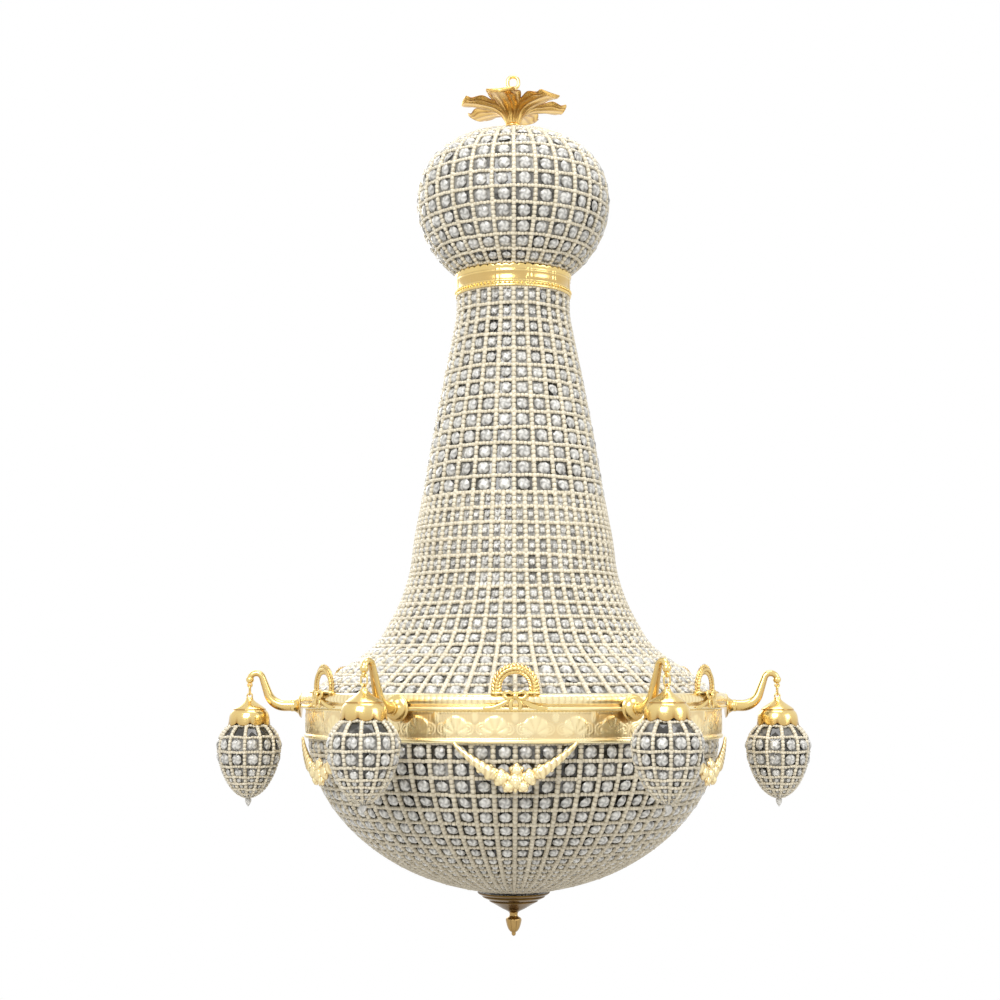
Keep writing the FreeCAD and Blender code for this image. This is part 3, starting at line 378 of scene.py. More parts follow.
def each_shaded(shape, more):
    """Copies of a small shape with a shade added to each, one number for each copy."""
    points, faces, shade = shape
    return points, faces, shade + np.repeat(more, len(points) // len(more))


def round_places(radius, height, angle):
    """Points, the directions round and the directions out, on circles about Z."""
    c, s, flat = np.cos(angle), np.sin(angle), 0 * angle
    return (np.stack([radius * c, radius * s, height + flat], -1), np.stack([-s, c, flat], -1),
            np.stack([c, s, flat], -1))


# The small parts have the size one: a bead, a wire, a stone with eight facets round a table, whose
# painted highlights and shade go from light to dark in turn, and the dark square of painted shadow behind a
# stone.
bead = skin(turned([(0, -1), (0.97, -0.66), (0.97, 0.66), (0, 1)], 6))
peg = skin(turned([(0, -1), (1, -1), (1, 1), (0, 1)], 4))
stone_cut = turned([(0, 0.46), (0.42, 0.46), (0.78, 0.26), (1.0, 0.0), (0, -0.3)], 8, 0.5)
stone = skin(stone_cut, np.array([[0.35], [0.0], [0.05], [0.40], [0.8]])
             + np.array([[0.0], [0.45], [0.65], [0.20], [0.0]]) * (np.arange(9) % 2))
shadow_square = turned_about(skin(turned([(0, 0.1), (math.sqrt(2), -0.1), (0, -0.3)], 4)), math.pi / 4)

UP = np.array([0, 0, 1.0])
BEAD_FORM, BEAD_PITCH, TIE_BEAD = np.array([1.0, 1.0, 1.04]), 0.93, 0.8
STRING_WAVE, STRING_SHAKE, BEAD_SHADE_SHAKE = 0.0006, 0.00025, 0.07
BACK_DEPTH, BACK_THICKNESS, BACK_SHADOW_SHAKE = 0.0022, 0.004, 0.12
STONE_FORM, SMALLEST_STONE, STONE_WIRE = np.array([1.0, 1.0, 0.8]), 0.003, 0.0004
STONE_TILT, STONE_SHAKE = 0.13, 0.0006


def strung_net(curve, columns, rows, stone_width, cord, painted_back_shadow, painted_bead_shade, seed, bare=0):
    """A net about Z that hangs along a curve of (radius, height) points, as four shapes: its
    down strings, the strings across, the stones with the dark squares behind them, and their
    wires. The strings lie half a cord inside the curve, the down strings at even angles. The
    rows are pairs of (share of the length, height), and they are closer where the frames get
    narrow. Each frame has a stone, as wide as is said or as the frame allows, which faces out
    and is tilted a little by chance, and behind it a dark square, a painted shadow that hides
    the net's inside. The squares' painted shadow and the strings' painted shade are each given
    at the net's top and foot. The bare rows at the top have no stones."""
    random = np.random.default_rng(seed)
    length = np.r_[0, np.cumsum(np.hypot(*np.diff(curve, axis=0).T))]
    ends = [0, length[-1]]
    run = np.gradient(curve, length, axis=0)
    run /= np.linalg.norm(run, axis=1, keepdims=True)
    inner = curve + np.stack([run[:, 1], -run[:, 0]], 1) * cord / 2
    frame_width = 2 * np.pi * inner[:, 0] / columns
    bead_width = np.minimum(cord, 0.5 * frame_width)
    shares, heights = np.transpose(rows)
    row_height = np.interp(length / length[-1], shares, heights)
    frame_height = row_height * np.clip(frame_width / (0.7 * row_height), 0.5, 1)

    def at(lengths, column):
        """A column of values, given along the curve, at these lengths."""
        return np.interp(lengths, length, column)

    def stations(spacing, shift, rounded):
        """Lengths along the curve that are a spacing apart, where the spacing itself varies."""
        passed = np.r_[0, np.cumsum(np.diff(length) * 2 / (spacing[1:] + spacing[:-1]))]
        count = int(round(passed[-1])) if rounded else int(passed[-1])
        share = (np.arange(count + (1 if shift == 0 else 0)) + shift) / count
        return np.interp(share * passed[-1], passed, length)

    def laid_out(lengths, shift):
        """Each length on each column, moved round by a shift: the lengths, the points and the
        directions round, down and out of the net."""
        angle, lengths = np.meshgrid(2 * np.pi * (np.arange(columns) + shift) / columns, lengths)
        angle, lengths = angle.ravel(), lengths.ravel()
        centre, around, out = round_places(at(lengths, inner[:, 0]), at(lengths, inner[:, 1]), angle)
        slope_out, slope_up = at(lengths, run[:, 0])[:, None], at(lengths, run[:, 1])[:, None]
        return lengths, centre, around, out * slope_out + UP * slope_up, UP * slope_out - out * slope_up

    def bead_shaded(beads, lengths):
        """Beads with the painted shade of their lengths, a little more or less by chance."""
        shaken = np.interp(lengths, ends, painted_bead_shade) + random.normal(0, BEAD_SHADE_SHAKE, len(lengths))
        return each_shaded(beads, np.clip(shaken, 0, 1))

    down, centre, around, heading, _ = laid_out(stations(BEAD_PITCH * bead_width, 0.5, False), 0)
    half = at(down, bead_width)[:, None] / 2
    down_beads = bead_shaded(copies(bead, centre, around, heading, half * BEAD_FORM), down)

    ties = stations(frame_height, 0, True)
    tie_bead = TIE_BEAD * at(ties, bead_width)
    counts = np.round(2 * np.pi * at(ties, inner[:, 0]) / (BEAD_PITCH * tie_bead)).astype(int)
    row = np.repeat(np.arange(len(ties)), counts)
    place = np.arange(counts.sum()) - np.repeat(np.cumsum(counts) - counts, counts)
    angle = 2 * np.pi * place / counts[row]
    wave = STRING_WAVE * np.sin(angle * 5 + row * 2.3) + random.normal(0, STRING_SHAKE, len(row))
    centre, around, out = round_places(at(ties, inner[:, 0])[row], at(ties, inner[:, 1])[row] + wave, angle)
    half = tie_bead[row][:, None] / 2
    tie_beads = bead_shaded(copies(bead, centre, out, around, half * BEAD_FORM), ties[row])

    middles = stations(frame_height, 0.5, True)
    middle, centre, around, heading, facing = laid_out(middles, 0.5)
    back_size = np.stack([at(middle, frame_width) / 2, at(middle, frame_height) / 2,
                          np.full(len(middle), BACK_THICKNESS)], 1)
    # Behind each frame, a dark square of painted shadow where the net's inside would show.
    shadow_squares = each_shaded(copies(shadow_square, centre - facing * BACK_DEPTH, around, facing, back_size),
                        random.normal(np.interp(middle, ends, painted_back_shadow), BACK_SHADOW_SHAKE))
    hung = middle >= middles[bare]
    middle, centre, around, heading, facing = (
        values[hung] for values in (middle, centre, around, heading, facing))
    free = np.minimum(at(middle, frame_width) - at(middle, bead_width) * 0.95,
                      at(middle, frame_height) - at(middle, bead_width) * 0.72)
    half = np.minimum(stone_width, np.maximum(free, SMALLEST_STONE))[:, None] / 2
    thin = np.full(len(middle), STONE_WIRE)
    wires = copies(peg, centre, around, heading, np.stack([thin, thin, at(middle, frame_height) / 2], 1))
    tilt = random.normal(0, STONE_TILT, (2, len(centre), 1))
    facing = facing + around * tilt[0] + heading * tilt[1]
    facing /= np.linalg.norm(facing, axis=1, keepdims=True)
    across = np.cross(np.cross(facing, around), facing)
    across /= np.linalg.norm(across, axis=1, keepdims=True)
    centre = centre + around * random.normal(0, STONE_SHAKE, (len(centre), 1))
    stones = copies(stone, centre, across, facing, half * STONE_FORM)
    return down_beads, tie_beads, together(stones, shadow_squares), wires


def quarter_curve(radius, drop, roundness, first_radius, last_radius, steps=60):
    """The curve (r / radius)^n + (z / drop)^n = 1, from one radius to another: (radius, depth)."""
    ends = np.arccos((np.array([first_radius, last_radius]) / radius) ** (roundness / 2))
    angle = np.linspace(ends[0], ends[1], steps)
    return np.stack([radius * np.abs(np.cos(angle)) ** (2 / roundness),
                     drop * np.abs(np.sin(angle)) ** (2 / roundness)], 1)


# The third bead tone is painted shade.
CREAM, CREAM_SHADE, BEAD_SHADE_TONE = (0.94, 0.86, 0.68), (0.78, 0.70, 0.53), (0.30, 0.24, 0.15)
# The stone's two tones are a painted highlight and a painted shade.
STONE_HIGHLIGHT_TONE, STONE_SHADE_TONE = (0.97, 0.95, 0.89), (0.045, 0.041, 0.033)
bead_glass = strung_glass("strung_bead_glass", CREAM, CREAM_SHADE, BEAD_SHADE_TONE, 0.06)
stone_glass = cut_glass("cut_stone_glass", STONE_HIGHLIGHT_TONE, STONE_SHADE_TONE, 0.25)


def made_net(name, node, net, parted=False):
    """The pieces of a fixed net, which stand for its CAD node: the strings, as one piece or
    parted into those down and those across, the stones and the wires."""
    down, across, stones, wires = net
    if parted:
        made(f"{name}_down_strings", down, bead_glass, "root", [node])
        made(f"{name}_cross_strings", across, bead_glass, "root")
    else:
        made(f"{name}_bead_strings", together(down, across), bead_glass, "root", [node])
    made(f"{name}_stones", stones, stone_glass, "root", flat=True)
    made(f"{name}_wires", wires, steel, "root")


def depth_share(radius_share, roundness):
    """The depth of a quarter curve, as a share of the whole, at a share of its radius."""
    return (1 - radius_share ** roundness) ** (1 / roundness)


BALL_RADIUS, BALL_MOUTH, BALL_FOOT_RADIUS = 0.139, 0.028, 0.0814
BALL_TOP, BALL_FOOT, BALL_ABOVE = -0.083, -0.293, 0.107
ROUND_ABOVE, ROUND_BELOW = 2.3, 1.9
NECK_STRINGS, NET_CORD = 28, 0.0070
ball_middle = BALL_TOP - BALL_ABOVE * depth_share(BALL_MOUTH / BALL_RADIUS, ROUND_ABOVE)
ball_below = (ball_middle - BALL_FOOT) / depth_share(BALL_FOOT_RADIUS / BALL_RADIUS, ROUND_BELOW)
ball_upper = quarter_curve(BALL_RADIUS, BALL_ABOVE, ROUND_ABOVE, BALL_MOUTH, BALL_RADIUS)
ball_lower = quarter_curve(BALL_RADIUS, ball_below, ROUND_BELOW, BALL_RADIUS, BALL_FOOT_RADIUS)
ball_curve = np.concatenate([ball_upper * [1, 1] + [0, ball_middle],
                             (ball_lower * [1, -1] + [0, ball_middle])[1:]])
# Its beads darken a little towards the foot with painted shade; the squares behind the stones are painted
# shadow.
made_net("ball", "ball_net", strung_net(
    ball_curve, NECK_STRINGS, [(0, 0.0233)], stone_width=0.0175, cord=0.0066,
    painted_back_shadow=(0.60, 0.75), painted_bead_shade=(0.0, 0.06), seed=3))


# ---------------------------------------------------------------- collar
# A spun brass band with a scalloped top edge, two fine raised lines, a row of pearls and pairs
# of upright ribs. It rests on the spider between ball and neck.
def ring_relief(outline, sides, out, shade, up=0.0):
    """A turned band whose points are pushed outwards and up by reliefs for each row and side."""
    grid = turned(outline, sides)
    angle = ring_angles(sides)
    grid[..., 0] += out * np.cos(angle)
    grid[..., 1] += out * np.sin(angle)
    grid[..., 2] += up
    return skin(grid, shade)


COLLAR_RADIUS, COLLAR_BORE, COLLAR_TOP, COLLAR_FOOT = 0.0817, 0.0790, -0.2930, -0.3250
COLLAR_SIDES, SCALLOPS, RIB_PAIRS, PEARLS = 480, 48, 12, 84
collar_outline = np.array([
    (COLLAR_BORE, COLLAR_FOOT), (0.0825, -0.3250), (0.0829, -0.3238), (0.0826, -0.3220), (0.0818, -0.3210),
    (0.0816, -0.3180), (0.0822, -0.3172), (0.0822, -0.3162), (0.0816, -0.3154), (0.0816, -0.3040),
    (0.0822, -0.3032), (0.0822, -0.3022), (0.0816, -0.3014), (0.0818, -0.2990), (0.0832, -0.2972),
    (0.0835, -0.2955), (0.0830, -0.2935), (COLLAR_BORE, COLLAR_TOP), (COLLAR_BORE, COLLAR_FOOT)])
collar_radius, collar_level = collar_outline[:, :1], collar_outline[:, 1:]
collar_angle = ring_angles(COLLAR_SIDES)
edge_share = np.clip((collar_level + 0.2990) / 0.0050, 0, 1)
scallop_up = edge_share * 0.0030 * (np.abs(np.cos(SCALLOPS / 2 * collar_angle)) - 0.5)
rib_place = np.mod(collar_angle * RIB_PAIRS / (2 * np.pi), 1)
ribs = sum(np.exp(-((rib_place - middle) / 0.022) ** 2) for middle in (0.44, 0.56))
collar_out = 0.0007 * ribs * (collar_radius > 0.0814) * (edge_share < 0.1)
# Painted shade on the band's recessed faces and on its inside.
collar_shade = np.where(collar_radius < 0.0817, 0.32, 0.0)
band = ring_relief(collar_outline, COLLAR_SIDES, collar_out, collar_shade, scallop_up)
centre, around, out = round_places(0.0822, -0.3193, 2 * np.pi * np.arange(PEARLS) / PEARLS)
pearls = copies(bead, centre, around, out, np.full((PEARLS, 3), 0.0017))
made("collar", together(band, pearls), gilt, "root", ["collar_band"])


# ---------------------------------------------------------------- neck and skirt
# The same strings and stones hang from the collar in one long neck and spread from the waist,
# where each string parts in two, to the ring.
def hanging_curve(top, foot, top_radius, foot_radius, shares):
    """(radius, height) points between two levels; each share is (way down, way out)."""
    share = np.linspace(0, 1, 120)
    shares = np.asarray(shares)
    spread = smooth_curve(share, shares[:, 0], shares[:, 1])
    return np.stack([top_radius + (foot_radius - top_radius) * spread, top + (foot - top) * share], 1)


WAIST, WAIST_RADIUS, RING_TOP, SKIRT_RADIUS = -0.617, 0.1305, -0.886, 0.284
neck_curve = hanging_curve(COLLAR_FOOT, WAIST, COLLAR_RADIUS, WAIST_RADIUS,
                           [(0, 0), (0.08, 0.003), (0.2, 0.13), (0.4, 0.37), (0.7, 0.7), (1, 1)])
# In the neck and the skirt the squares behind the stones are painted shadow; the neck's beads carry a little
# painted shade at its top.
made_net("neck", "neck_net", strung_net(
    neck_curve, NECK_STRINGS, [(0, 0.0228)], stone_width=0.0190, cord=NET_CORD,
    painted_back_shadow=(0.60, 0.75), painted_bead_shade=(0.05, 0.0), seed=5))
skirt_curve = hanging_curve(WAIST, RING_TOP, WAIST_RADIUS, SKIRT_RADIUS,
                            [(0, 0), (0.2, 0.065), (0.41, 0.12), (0.62, 0.267), (0.78, 0.461), (0.88, 0.71),
                             (1, 1)])
made_net("skirt", "flare_net", strung_net(
    skirt_curve, 2 * NECK_STRINGS, [(0, 0.0218)], stone_width=0.0185, cord=NET_CORD,
    painted_back_shadow=(0.40, 0.60), painted_bead_shade=(0.0, 0.0), seed=7))


# ---------------------------------------------------------------- the ring: cornice and frieze
# A cast cornice with upright gadroons over a thin moulding, and under it a frieze of sheet
# brass pressed with palmettes and scrolls over a lip. Both fit round the steel hoop, and the
# arms' screws pass through the cornice.
HOOP_RADIUS, FRIEZE_RADIUS, FRIEZE_TOP, RING_FOOT = 0.2863, 0.2883, -0.908, -0.948
RING_SIDES, GADROONS, PALMETTES, FRIEZE_PEARLS = 1440, 240, 36, 400
cornice_outline = rounded_outline([
    (HOOP_RADIUS, -0.8866), (0.2890, -0.8867), (0.2922, -0.8878), (0.2948, -0.8902), (0.2960, -0.8936),
    (0.2958, -0.8968), (0.2944, -0.8995), (0.2928, -0.9010), (0.2930, -0.9022), (0.2952, -0.9034),
    (0.2957, -0.9052), (0.2950, -0.9068), (0.2925, -0.9080), (HOOP_RADIUS, -0.9080)], 2)
cornice_outline = np.concatenate([cornice_outline, cornice_outline[:1]])
level = cornice_outline[:, 1:]
valley = (1 - np.abs(np.sin(ring_angles(RING_SIDES) * GADROONS / 2))) ** 1.5
between = np.clip((level + 0.9010) / 0.003, 0, 1) * np.clip((-0.8870 - level) / 0.002, 0, 1)
cornice_out = -0.00025 * valley * between * (cornice_outline[:, :1] > 0.2900)
# Painted shade in the valleys between the gadroons and in the groove over the thin moulding.
cornice_shade = np.clip(0.34 * valley * between + 0.5 * np.exp(-((level + 0.9012) / 0.0012) ** 2), 0, 1)
made("cornice", ring_relief(cornice_outline, RING_SIDES, cornice_out, cornice_shade),
     pale_gilt, "root", ["cornice_strip"])

FRIEZE_ROWS = 30
rows = np.linspace(FRIEZE_TOP, RING_FOOT + 0.0060, FRIEZE_ROWS)
frieze_outline = np.concatenate([
    [(HOOP_RADIUS, FRIEZE_TOP)], np.stack([np.full(FRIEZE_ROWS, FRIEZE_RADIUS), rows], 1),
    [(0.2893, -0.9428), (0.2901, -0.9440), (0.2903, -0.9455), (0.2899, -0.9472), (0.2885, -0.9480),
     (HOOP_RADIUS, RING_FOOT), (HOOP_RADIUS, FRIEZE_TOP)]])
angle = ring_angles(RING_SIDES)
period = 2 * np.pi * FRIEZE_RADIUS / PALMETTES
across = (np.mod(angle * PALMETTES / (2 * np.pi), 1) - 0.5) * period
above = frieze_outline[:, 1:] - (RING_FOOT + 0.0080)


def disc(distance, radius, soft):
    """One inside a radius, falling to nothing over a soft edge."""
    return np.clip((radius - distance) / soft + 0.5, 0, 1)


PALM_FOOT, PALM_RADIUS, PALM_SPREAD = 0.004, 0.021, 1.9
SCROLL_OUT, SCROLL_UP, SCROLL_RADIUS, SCROLL_PITCH = 0.0165, 0.009, 0.0078, 0.0034
BUD_UP, BUD_RADIUS, PEARLS_UP = 0.024, 0.0065, 0.0305
far = np.hypot(across, above - PALM_FOOT)
lean = np.arctan2(across, above - PALM_FOOT)
palm = (disc(far, PALM_RADIUS * (0.72 + 0.28 * np.cos(lean)), 0.002) * (np.abs(lean) < PALM_SPREAD)
        * (0.25 + 0.75 * np.abs(np.cos(4.5 * lean)) ** 0.6) * np.clip(far / 0.004, 0.3, 1))
side = np.abs(across) - SCROLL_OUT
far_scroll = np.hypot(side, above - SCROLL_UP)
curl = 0.5 + 0.5 * np.cos(2 * np.pi * far_scroll / SCROLL_PITCH - np.arctan2(above - SCROLL_UP, side))
scroll = curl * disc(far_scroll, SCROLL_RADIUS, 0.002)
far_bud = np.hypot((np.abs(across) - period / 2) * 1.6, above - BUD_UP)
bud = disc(far_bud, BUD_RADIUS, 0.003)
pearl = np.mod(angle * FRIEZE_PEARLS / (2 * np.pi), 1) - 0.5
pearl_row = np.sqrt(np.clip(1 - (pearl / 0.46) ** 2 - ((above - PEARLS_UP) / 0.0020) ** 2, 0, 1))
relief = np.maximum.reduce([palm, scroll * 0.8, bud * 0.7, pearl_row * 0.8])
on_face = (frieze_outline[:, :1] > 0.2880) & (frieze_outline[:, :1] < 0.2884)
frieze_out = (0.0008 * relief + 0.00012 * np.cos(480 * angle)) * on_face
# Painted shade on the ground between the pressed reliefs.
frieze_shade = np.clip(0.32 * (1 - relief) * on_face, 0, 1)
made("frieze", ring_relief(frieze_outline, RING_SIDES, frieze_out, frieze_shade),
     pale_gilt, "root", ["frieze_band"])


# ---------------------------------------------------------------- wreaths on the ring
# Six cast laurel wreaths stand on the cornice between the arms, each tied at its foot with a
# bow whose ribbons lie over the cornice.
def bent_round(shape, radius, azimuth):
    """A shape drawn flat, (across, outwards, up), bent round Z at a radius and an azimuth."""
    points, faces, shade = shape
    angle = azimuth + points[:, 0] / radius
    reach = radius + points[:, 1]
    return np.stack([reach * np.cos(angle), reach * np.sin(angle), points[:, 2]], 1), faces, shade


def flat_copies(shape, across, up, out, heading, size):
    """Copies of a shape in the flat of an ornament: at (across, up), lifted out, with the
    shape's own Z along the heading, an angle from straight up, and its Y outwards."""
    across, up, out, heading = np.broadcast_arrays(across, up, out, heading)
    centre = np.stack([across, out, up], -1)
    axis = np.stack([np.sin(heading), 0 * heading, np.cos(heading)], -1)
    outwards = np.stack([0 * heading, 1 + 0 * heading, 0 * heading], -1)
    return copies(shape, centre, np.cross(outwards, axis), axis, np.broadcast_to(size, centre.shape))


LEAF_SIZE = np.array([0.0028, 0.0026, 0.0066])
leaf_u = np.linspace(0, 1, 8)[:, None]
leaf_v = ring_angles(8)
leaf_w = np.sin(np.pi * leaf_u ** 0.8) ** 0.9 * (leaf_u < 1)
leaf_rib = 0.35 * (np.abs(np.cos(leaf_v)) < 0.2) * leaf_w * (np.sin(leaf_v) > 0)
# Painted shade towards each small leaf's side edges.
small_leaf = skin(np.stack([leaf_w * np.cos(leaf_v), leaf_w * np.sin(leaf_v) * 0.55 + leaf_rib,
                            2 * leaf_u - 1 + 0 * leaf_v], -1), 0.75 * np.abs(np.cos(leaf_v)) ** 3)

# Leaves lie on a wreath's arch and legs in four rows: two splayed ones, the front and the back.
WREATH_RADIUS, WREATH_BASE, WREATH_SPRING, WREATH_BEND = 0.2901, -0.8872, -0.8792, 0.02335
arch = np.pi * WREATH_BEND
legs = WREATH_SPRING - WREATH_BASE
way = np.linspace(0, 1, 21) * 2 - 1
side = np.sign(way + 1e-9)
passed = np.abs(way) * (arch / 2 + legs)
bent = np.clip(passed / WREATH_BEND, 0, np.pi / 2) * side
wreath_across = WREATH_BEND * np.sin(bent)
wreath_up = WREATH_SPRING + WREATH_BEND * np.cos(bent) - np.clip(passed - arch / 2, 0, None)
leaf_rows = [flat_copies(small_leaf, wreath_across + offset * np.sin(bent), wreath_up + offset * np.cos(bent),
                         lift, bent - side * np.pi / 2 + splay * side, LEAF_SIZE)
             for offset, splay, lift in ((0.0030, 0.70, 0.0), (-0.0030, -0.70, 0.0),
                                         (0.0, 0.0, 0.0020), (0.0, 0.0, -0.0014))]

CORE_WIDE, CORE_THICK, CORE_STEPS = 0.0042, 0.0022, 30
core_turn = np.linspace(-np.pi / 2, np.pi / 2, CORE_STEPS)
core_line = np.concatenate([[(-WREATH_BEND, WREATH_BASE)],
                            np.stack([WREATH_BEND * np.sin(core_turn),
                                      WREATH_SPRING + WREATH_BEND * np.cos(core_turn)], 1),
                            [(WREATH_BEND, WREATH_BASE)]])
core_way = np.gradient(core_line, axis=0)
core_way /= np.linalg.norm(core_way, axis=1, keepdims=True)
core_round = ring_angles(12)
core_size = np.r_[0, np.ones(CORE_STEPS), 0][:, None]
# Painted shade all over the core, which lies under the leaves.
core = skin(np.stack([
    core_line[:, :1] + core_way[:, 1:] * CORE_WIDE * np.cos(core_round) * core_size,
    CORE_THICK * np.sin(core_round) * core_size,
    core_line[:, 1:] - core_way[:, :1] * CORE_WIDE * np.cos(core_round) * core_size], -1), 0.8)


def ribbon(line, half_width, half_thick):
    """A flat closed strap along (across, outwards, up) points, with its width square to the line."""
    at = np.linspace(0, len(line) - 1, 6 * (len(line) - 1) + 1)
    line = np.stack([smooth_curve(at, np.arange(len(line)), line[:, k]) for k in range(3)], 1)
    way = np.gradient(line, axis=0)
    way /= np.linalg.norm(way, axis=1, keepdims=True)
    wide = np.cross(way, [0.0, 1.0, 0.0])
    turn = ring_angles(12)[..., None]
    taper = np.sin(np.linspace(0, np.pi, len(line)))[:, None, None] ** 0.25
    return skin(line[:, None] + taper * (wide[:, None] * np.cos(turn) * half_width
                                         + np.array([0.0, 1.0, 0.0]) * np.sin(turn) * half_thick))


# The knot is a bow, two long ribbons and two short ones, given for the right side: points as
# (across, out from the knot, up), half the width and half the thickness.
KNOT_OUT, KNOT_SIZE = 0.0089, np.array([0.0042, 0.0032, 0.0042])
KNOT_RIBBONS = [
    ([(0, 0, -0.8885), (0.008, 0.001, -0.8845), (0.0135, 0, -0.8875), (0.009, 0.001, -0.8925),
      (0, 0, -0.8905)], 0.0026, 0.0015),
    ([(0.001, -0.001, -0.8905), (0.014, -0.001, -0.8985), (0.026, -0.0015, -0.9035),
      (0.040, -0.0015, -0.9050)], 0.0028, 0.0012),
    ([(0.001, 0, -0.8905), (0.006, 0, -0.8990), (0.0045, 0, -0.9070)], 0.0026, 0.0012)]
knot = [ribbon(np.array(line) * [hand, 1, 1] + [0, KNOT_OUT, 0], half_width, half_thick)
        for line, half_width, half_thick in KNOT_RIBBONS for hand in (-1, 1)]
knot.append(flat_copies(bead, np.zeros(1), np.full(1, -0.8895), KNOT_OUT + 0.0012, 0.0, KNOT_SIZE))

PLINTH_HALF = 0.031
plinth_line = np.linspace(-1, 1, 25)[:, None]
plinth_out, plinth_up = np.transpose([
    (-0.0035, 0.0), (-0.0035, 0.0030), (0.0040, 0.0034), (0.0072, 0.0024), (0.0078, 0.0004), (0.0062, 0.0),
    (-0.0035, 0.0)])[:, None]
plinth_size = np.abs(plinth_line) < 1
plinth = skin(np.stack([PLINTH_HALF * plinth_line + 0 * plinth_out,
                        plinth_size * plinth_out * (1 + 0.12 * np.cos(9 * np.pi * plinth_line)),
                        WREATH_BASE + plinth_size * plinth_up], -1))
wreath = together(core, *leaf_rows, together(*knot), plinth)
between_arms = np.radians(30 + 60 * np.arange(6))
wreaths = [bent_round(wreath, WREATH_RADIUS, azimuth) for azimuth in between_arms]
made("wreaths", together(*wreaths), gilt, "root", ["wreath_loops"])


# ---------------------------------------------------------------- festoons under the ring
# Six cast festoons hang below the frieze in a V. Twisted horns grow from thin ends to a cluster
# of blossoms, and the back of each casting follows the ring.
FESTOON_RADIUS, HORN_TWISTS, PETALS = 0.2945, 8, 5


def swag_line(along):
    """Where a swag runs, as a share of the way from its end to its flowers: (across, up)."""
    return 0.0775 - 0.0555 * along, -0.9455 - 0.0420 * along ** 0.80


horn_along = np.linspace(0, 0.9, 64)[:, None]
horn_round = ring_angles(20)
x, z = swag_line(horn_along)
run_x, run_z = np.gradient(x, axis=0), np.gradient(z, axis=0)
run = np.hypot(run_x, run_z)
twist = np.cos(2 * np.pi * HORN_TWISTS * horn_along - 2 * horn_round)
horn_half = (0.0021 + 0.0066 * horn_along) * (1 + 0.05 * twist)
horn_half[[0, -1]] = 0.0
# Painted shade in the troughs of each horn's twist.
horns = [skin(np.stack([hand * (x + run_z / run * horn_half * np.cos(horn_round)),
                        0.0012 + 0.8 * horn_half * np.sin(horn_round),
                        z - run_x / run * horn_half * np.cos(horn_round)], -1),
              np.clip(0.1 - 0.4 * twist, 0, 0.5)) for hand in (-1, 1)]
petal_turn = np.arange(PETALS) * 2 * np.pi / PETALS
flowers = []
for x, z, size in ((0.0, -0.9925, 0.0130), (-0.0175, -0.9890, 0.0122), (0.0168, -0.9886, 0.0118),
                   (-0.0090, -0.9998, 0.0084), (0.0095, -0.9994, 0.0086), (0.0012, -0.9800, 0.0100),
                   (-0.0305, -0.9828, 0.0108), (0.0300, -0.9822, 0.0104), (-0.0420, -0.9762, 0.0088),
                   (0.0415, -0.9756, 0.0084), (-0.0520, -0.9690, 0.0064), (0.0515, -0.9684, 0.0062)):
    for reach_share, lift, start in ((0.56, 0.0008, 0.0), (0.30, 0.0030, 0.6)):
        flowers.append(flat_copies(small_leaf, x + reach_share * size * np.sin(petal_turn + start),
                                   z + reach_share * size * np.cos(petal_turn + start), lift,
                                   petal_turn + start, size * np.array([0.52, 0.36, 0.44])))
    flowers.append(flat_copies(bead, np.array([x]), np.array([z]), 0.0044, 0.0,
                               size * np.array([0.24, 0.22, 0.24])))
tails = flat_copies(small_leaf, np.array([-0.0070, 0.0070, 0.0]), np.array([-1.0010, -1.0010, -1.0015]), 0.0,
                    np.array([np.pi + 0.45, np.pi - 0.45, np.pi]), np.array([0.0038, 0.0028, 0.0068]))
festoon = together(*horns, *flowers, tails)
festoons = [bent_round(festoon, FESTOON_RADIUS, azimuth) for azimuth in between_arms]
made("festoon_castings", together(*festoons), pale_gilt, "root", ["festoons"])


# ---------------------------------------------------------------- bowl, bottom plate and finial
# The bowl is strung like the ball and hangs from the hoop's foot. Its strings end on a turned
# plate of darker brass, and a turned drop screws onto the rod below it.
BOWL_RADIUS, BOWL_DEPTH, BOWL_ROUND, BOWL_FOOT_RADIUS, BOWL_STRINGS = 0.285, 0.216, 1.9, 0.042, 64
BOWL_ROWS = [(0, 0.0233), (0.50, 0.0225), (0.60, 0.0135), (1, 0.0100)]
bowl_curve = quarter_curve(BOWL_RADIUS, BOWL_DEPTH, BOWL_ROUND, BOWL_RADIUS, BOWL_FOOT_RADIUS, 120)
bowl_curve = bowl_curve * [1, -1] + [0, RING_FOOT]
# The bowl's beads darken towards the plate with painted shade; the squares behind its stones are painted
# shadow.
made_net("bowl", "bowl_net", strung_net(
    bowl_curve, BOWL_STRINGS, BOWL_ROWS, stone_width=0.0165, cord=NET_CORD,
    painted_back_shadow=(0.95, 0.95), painted_bead_shade=(0.16, 0.62), seed=11), parted=True)

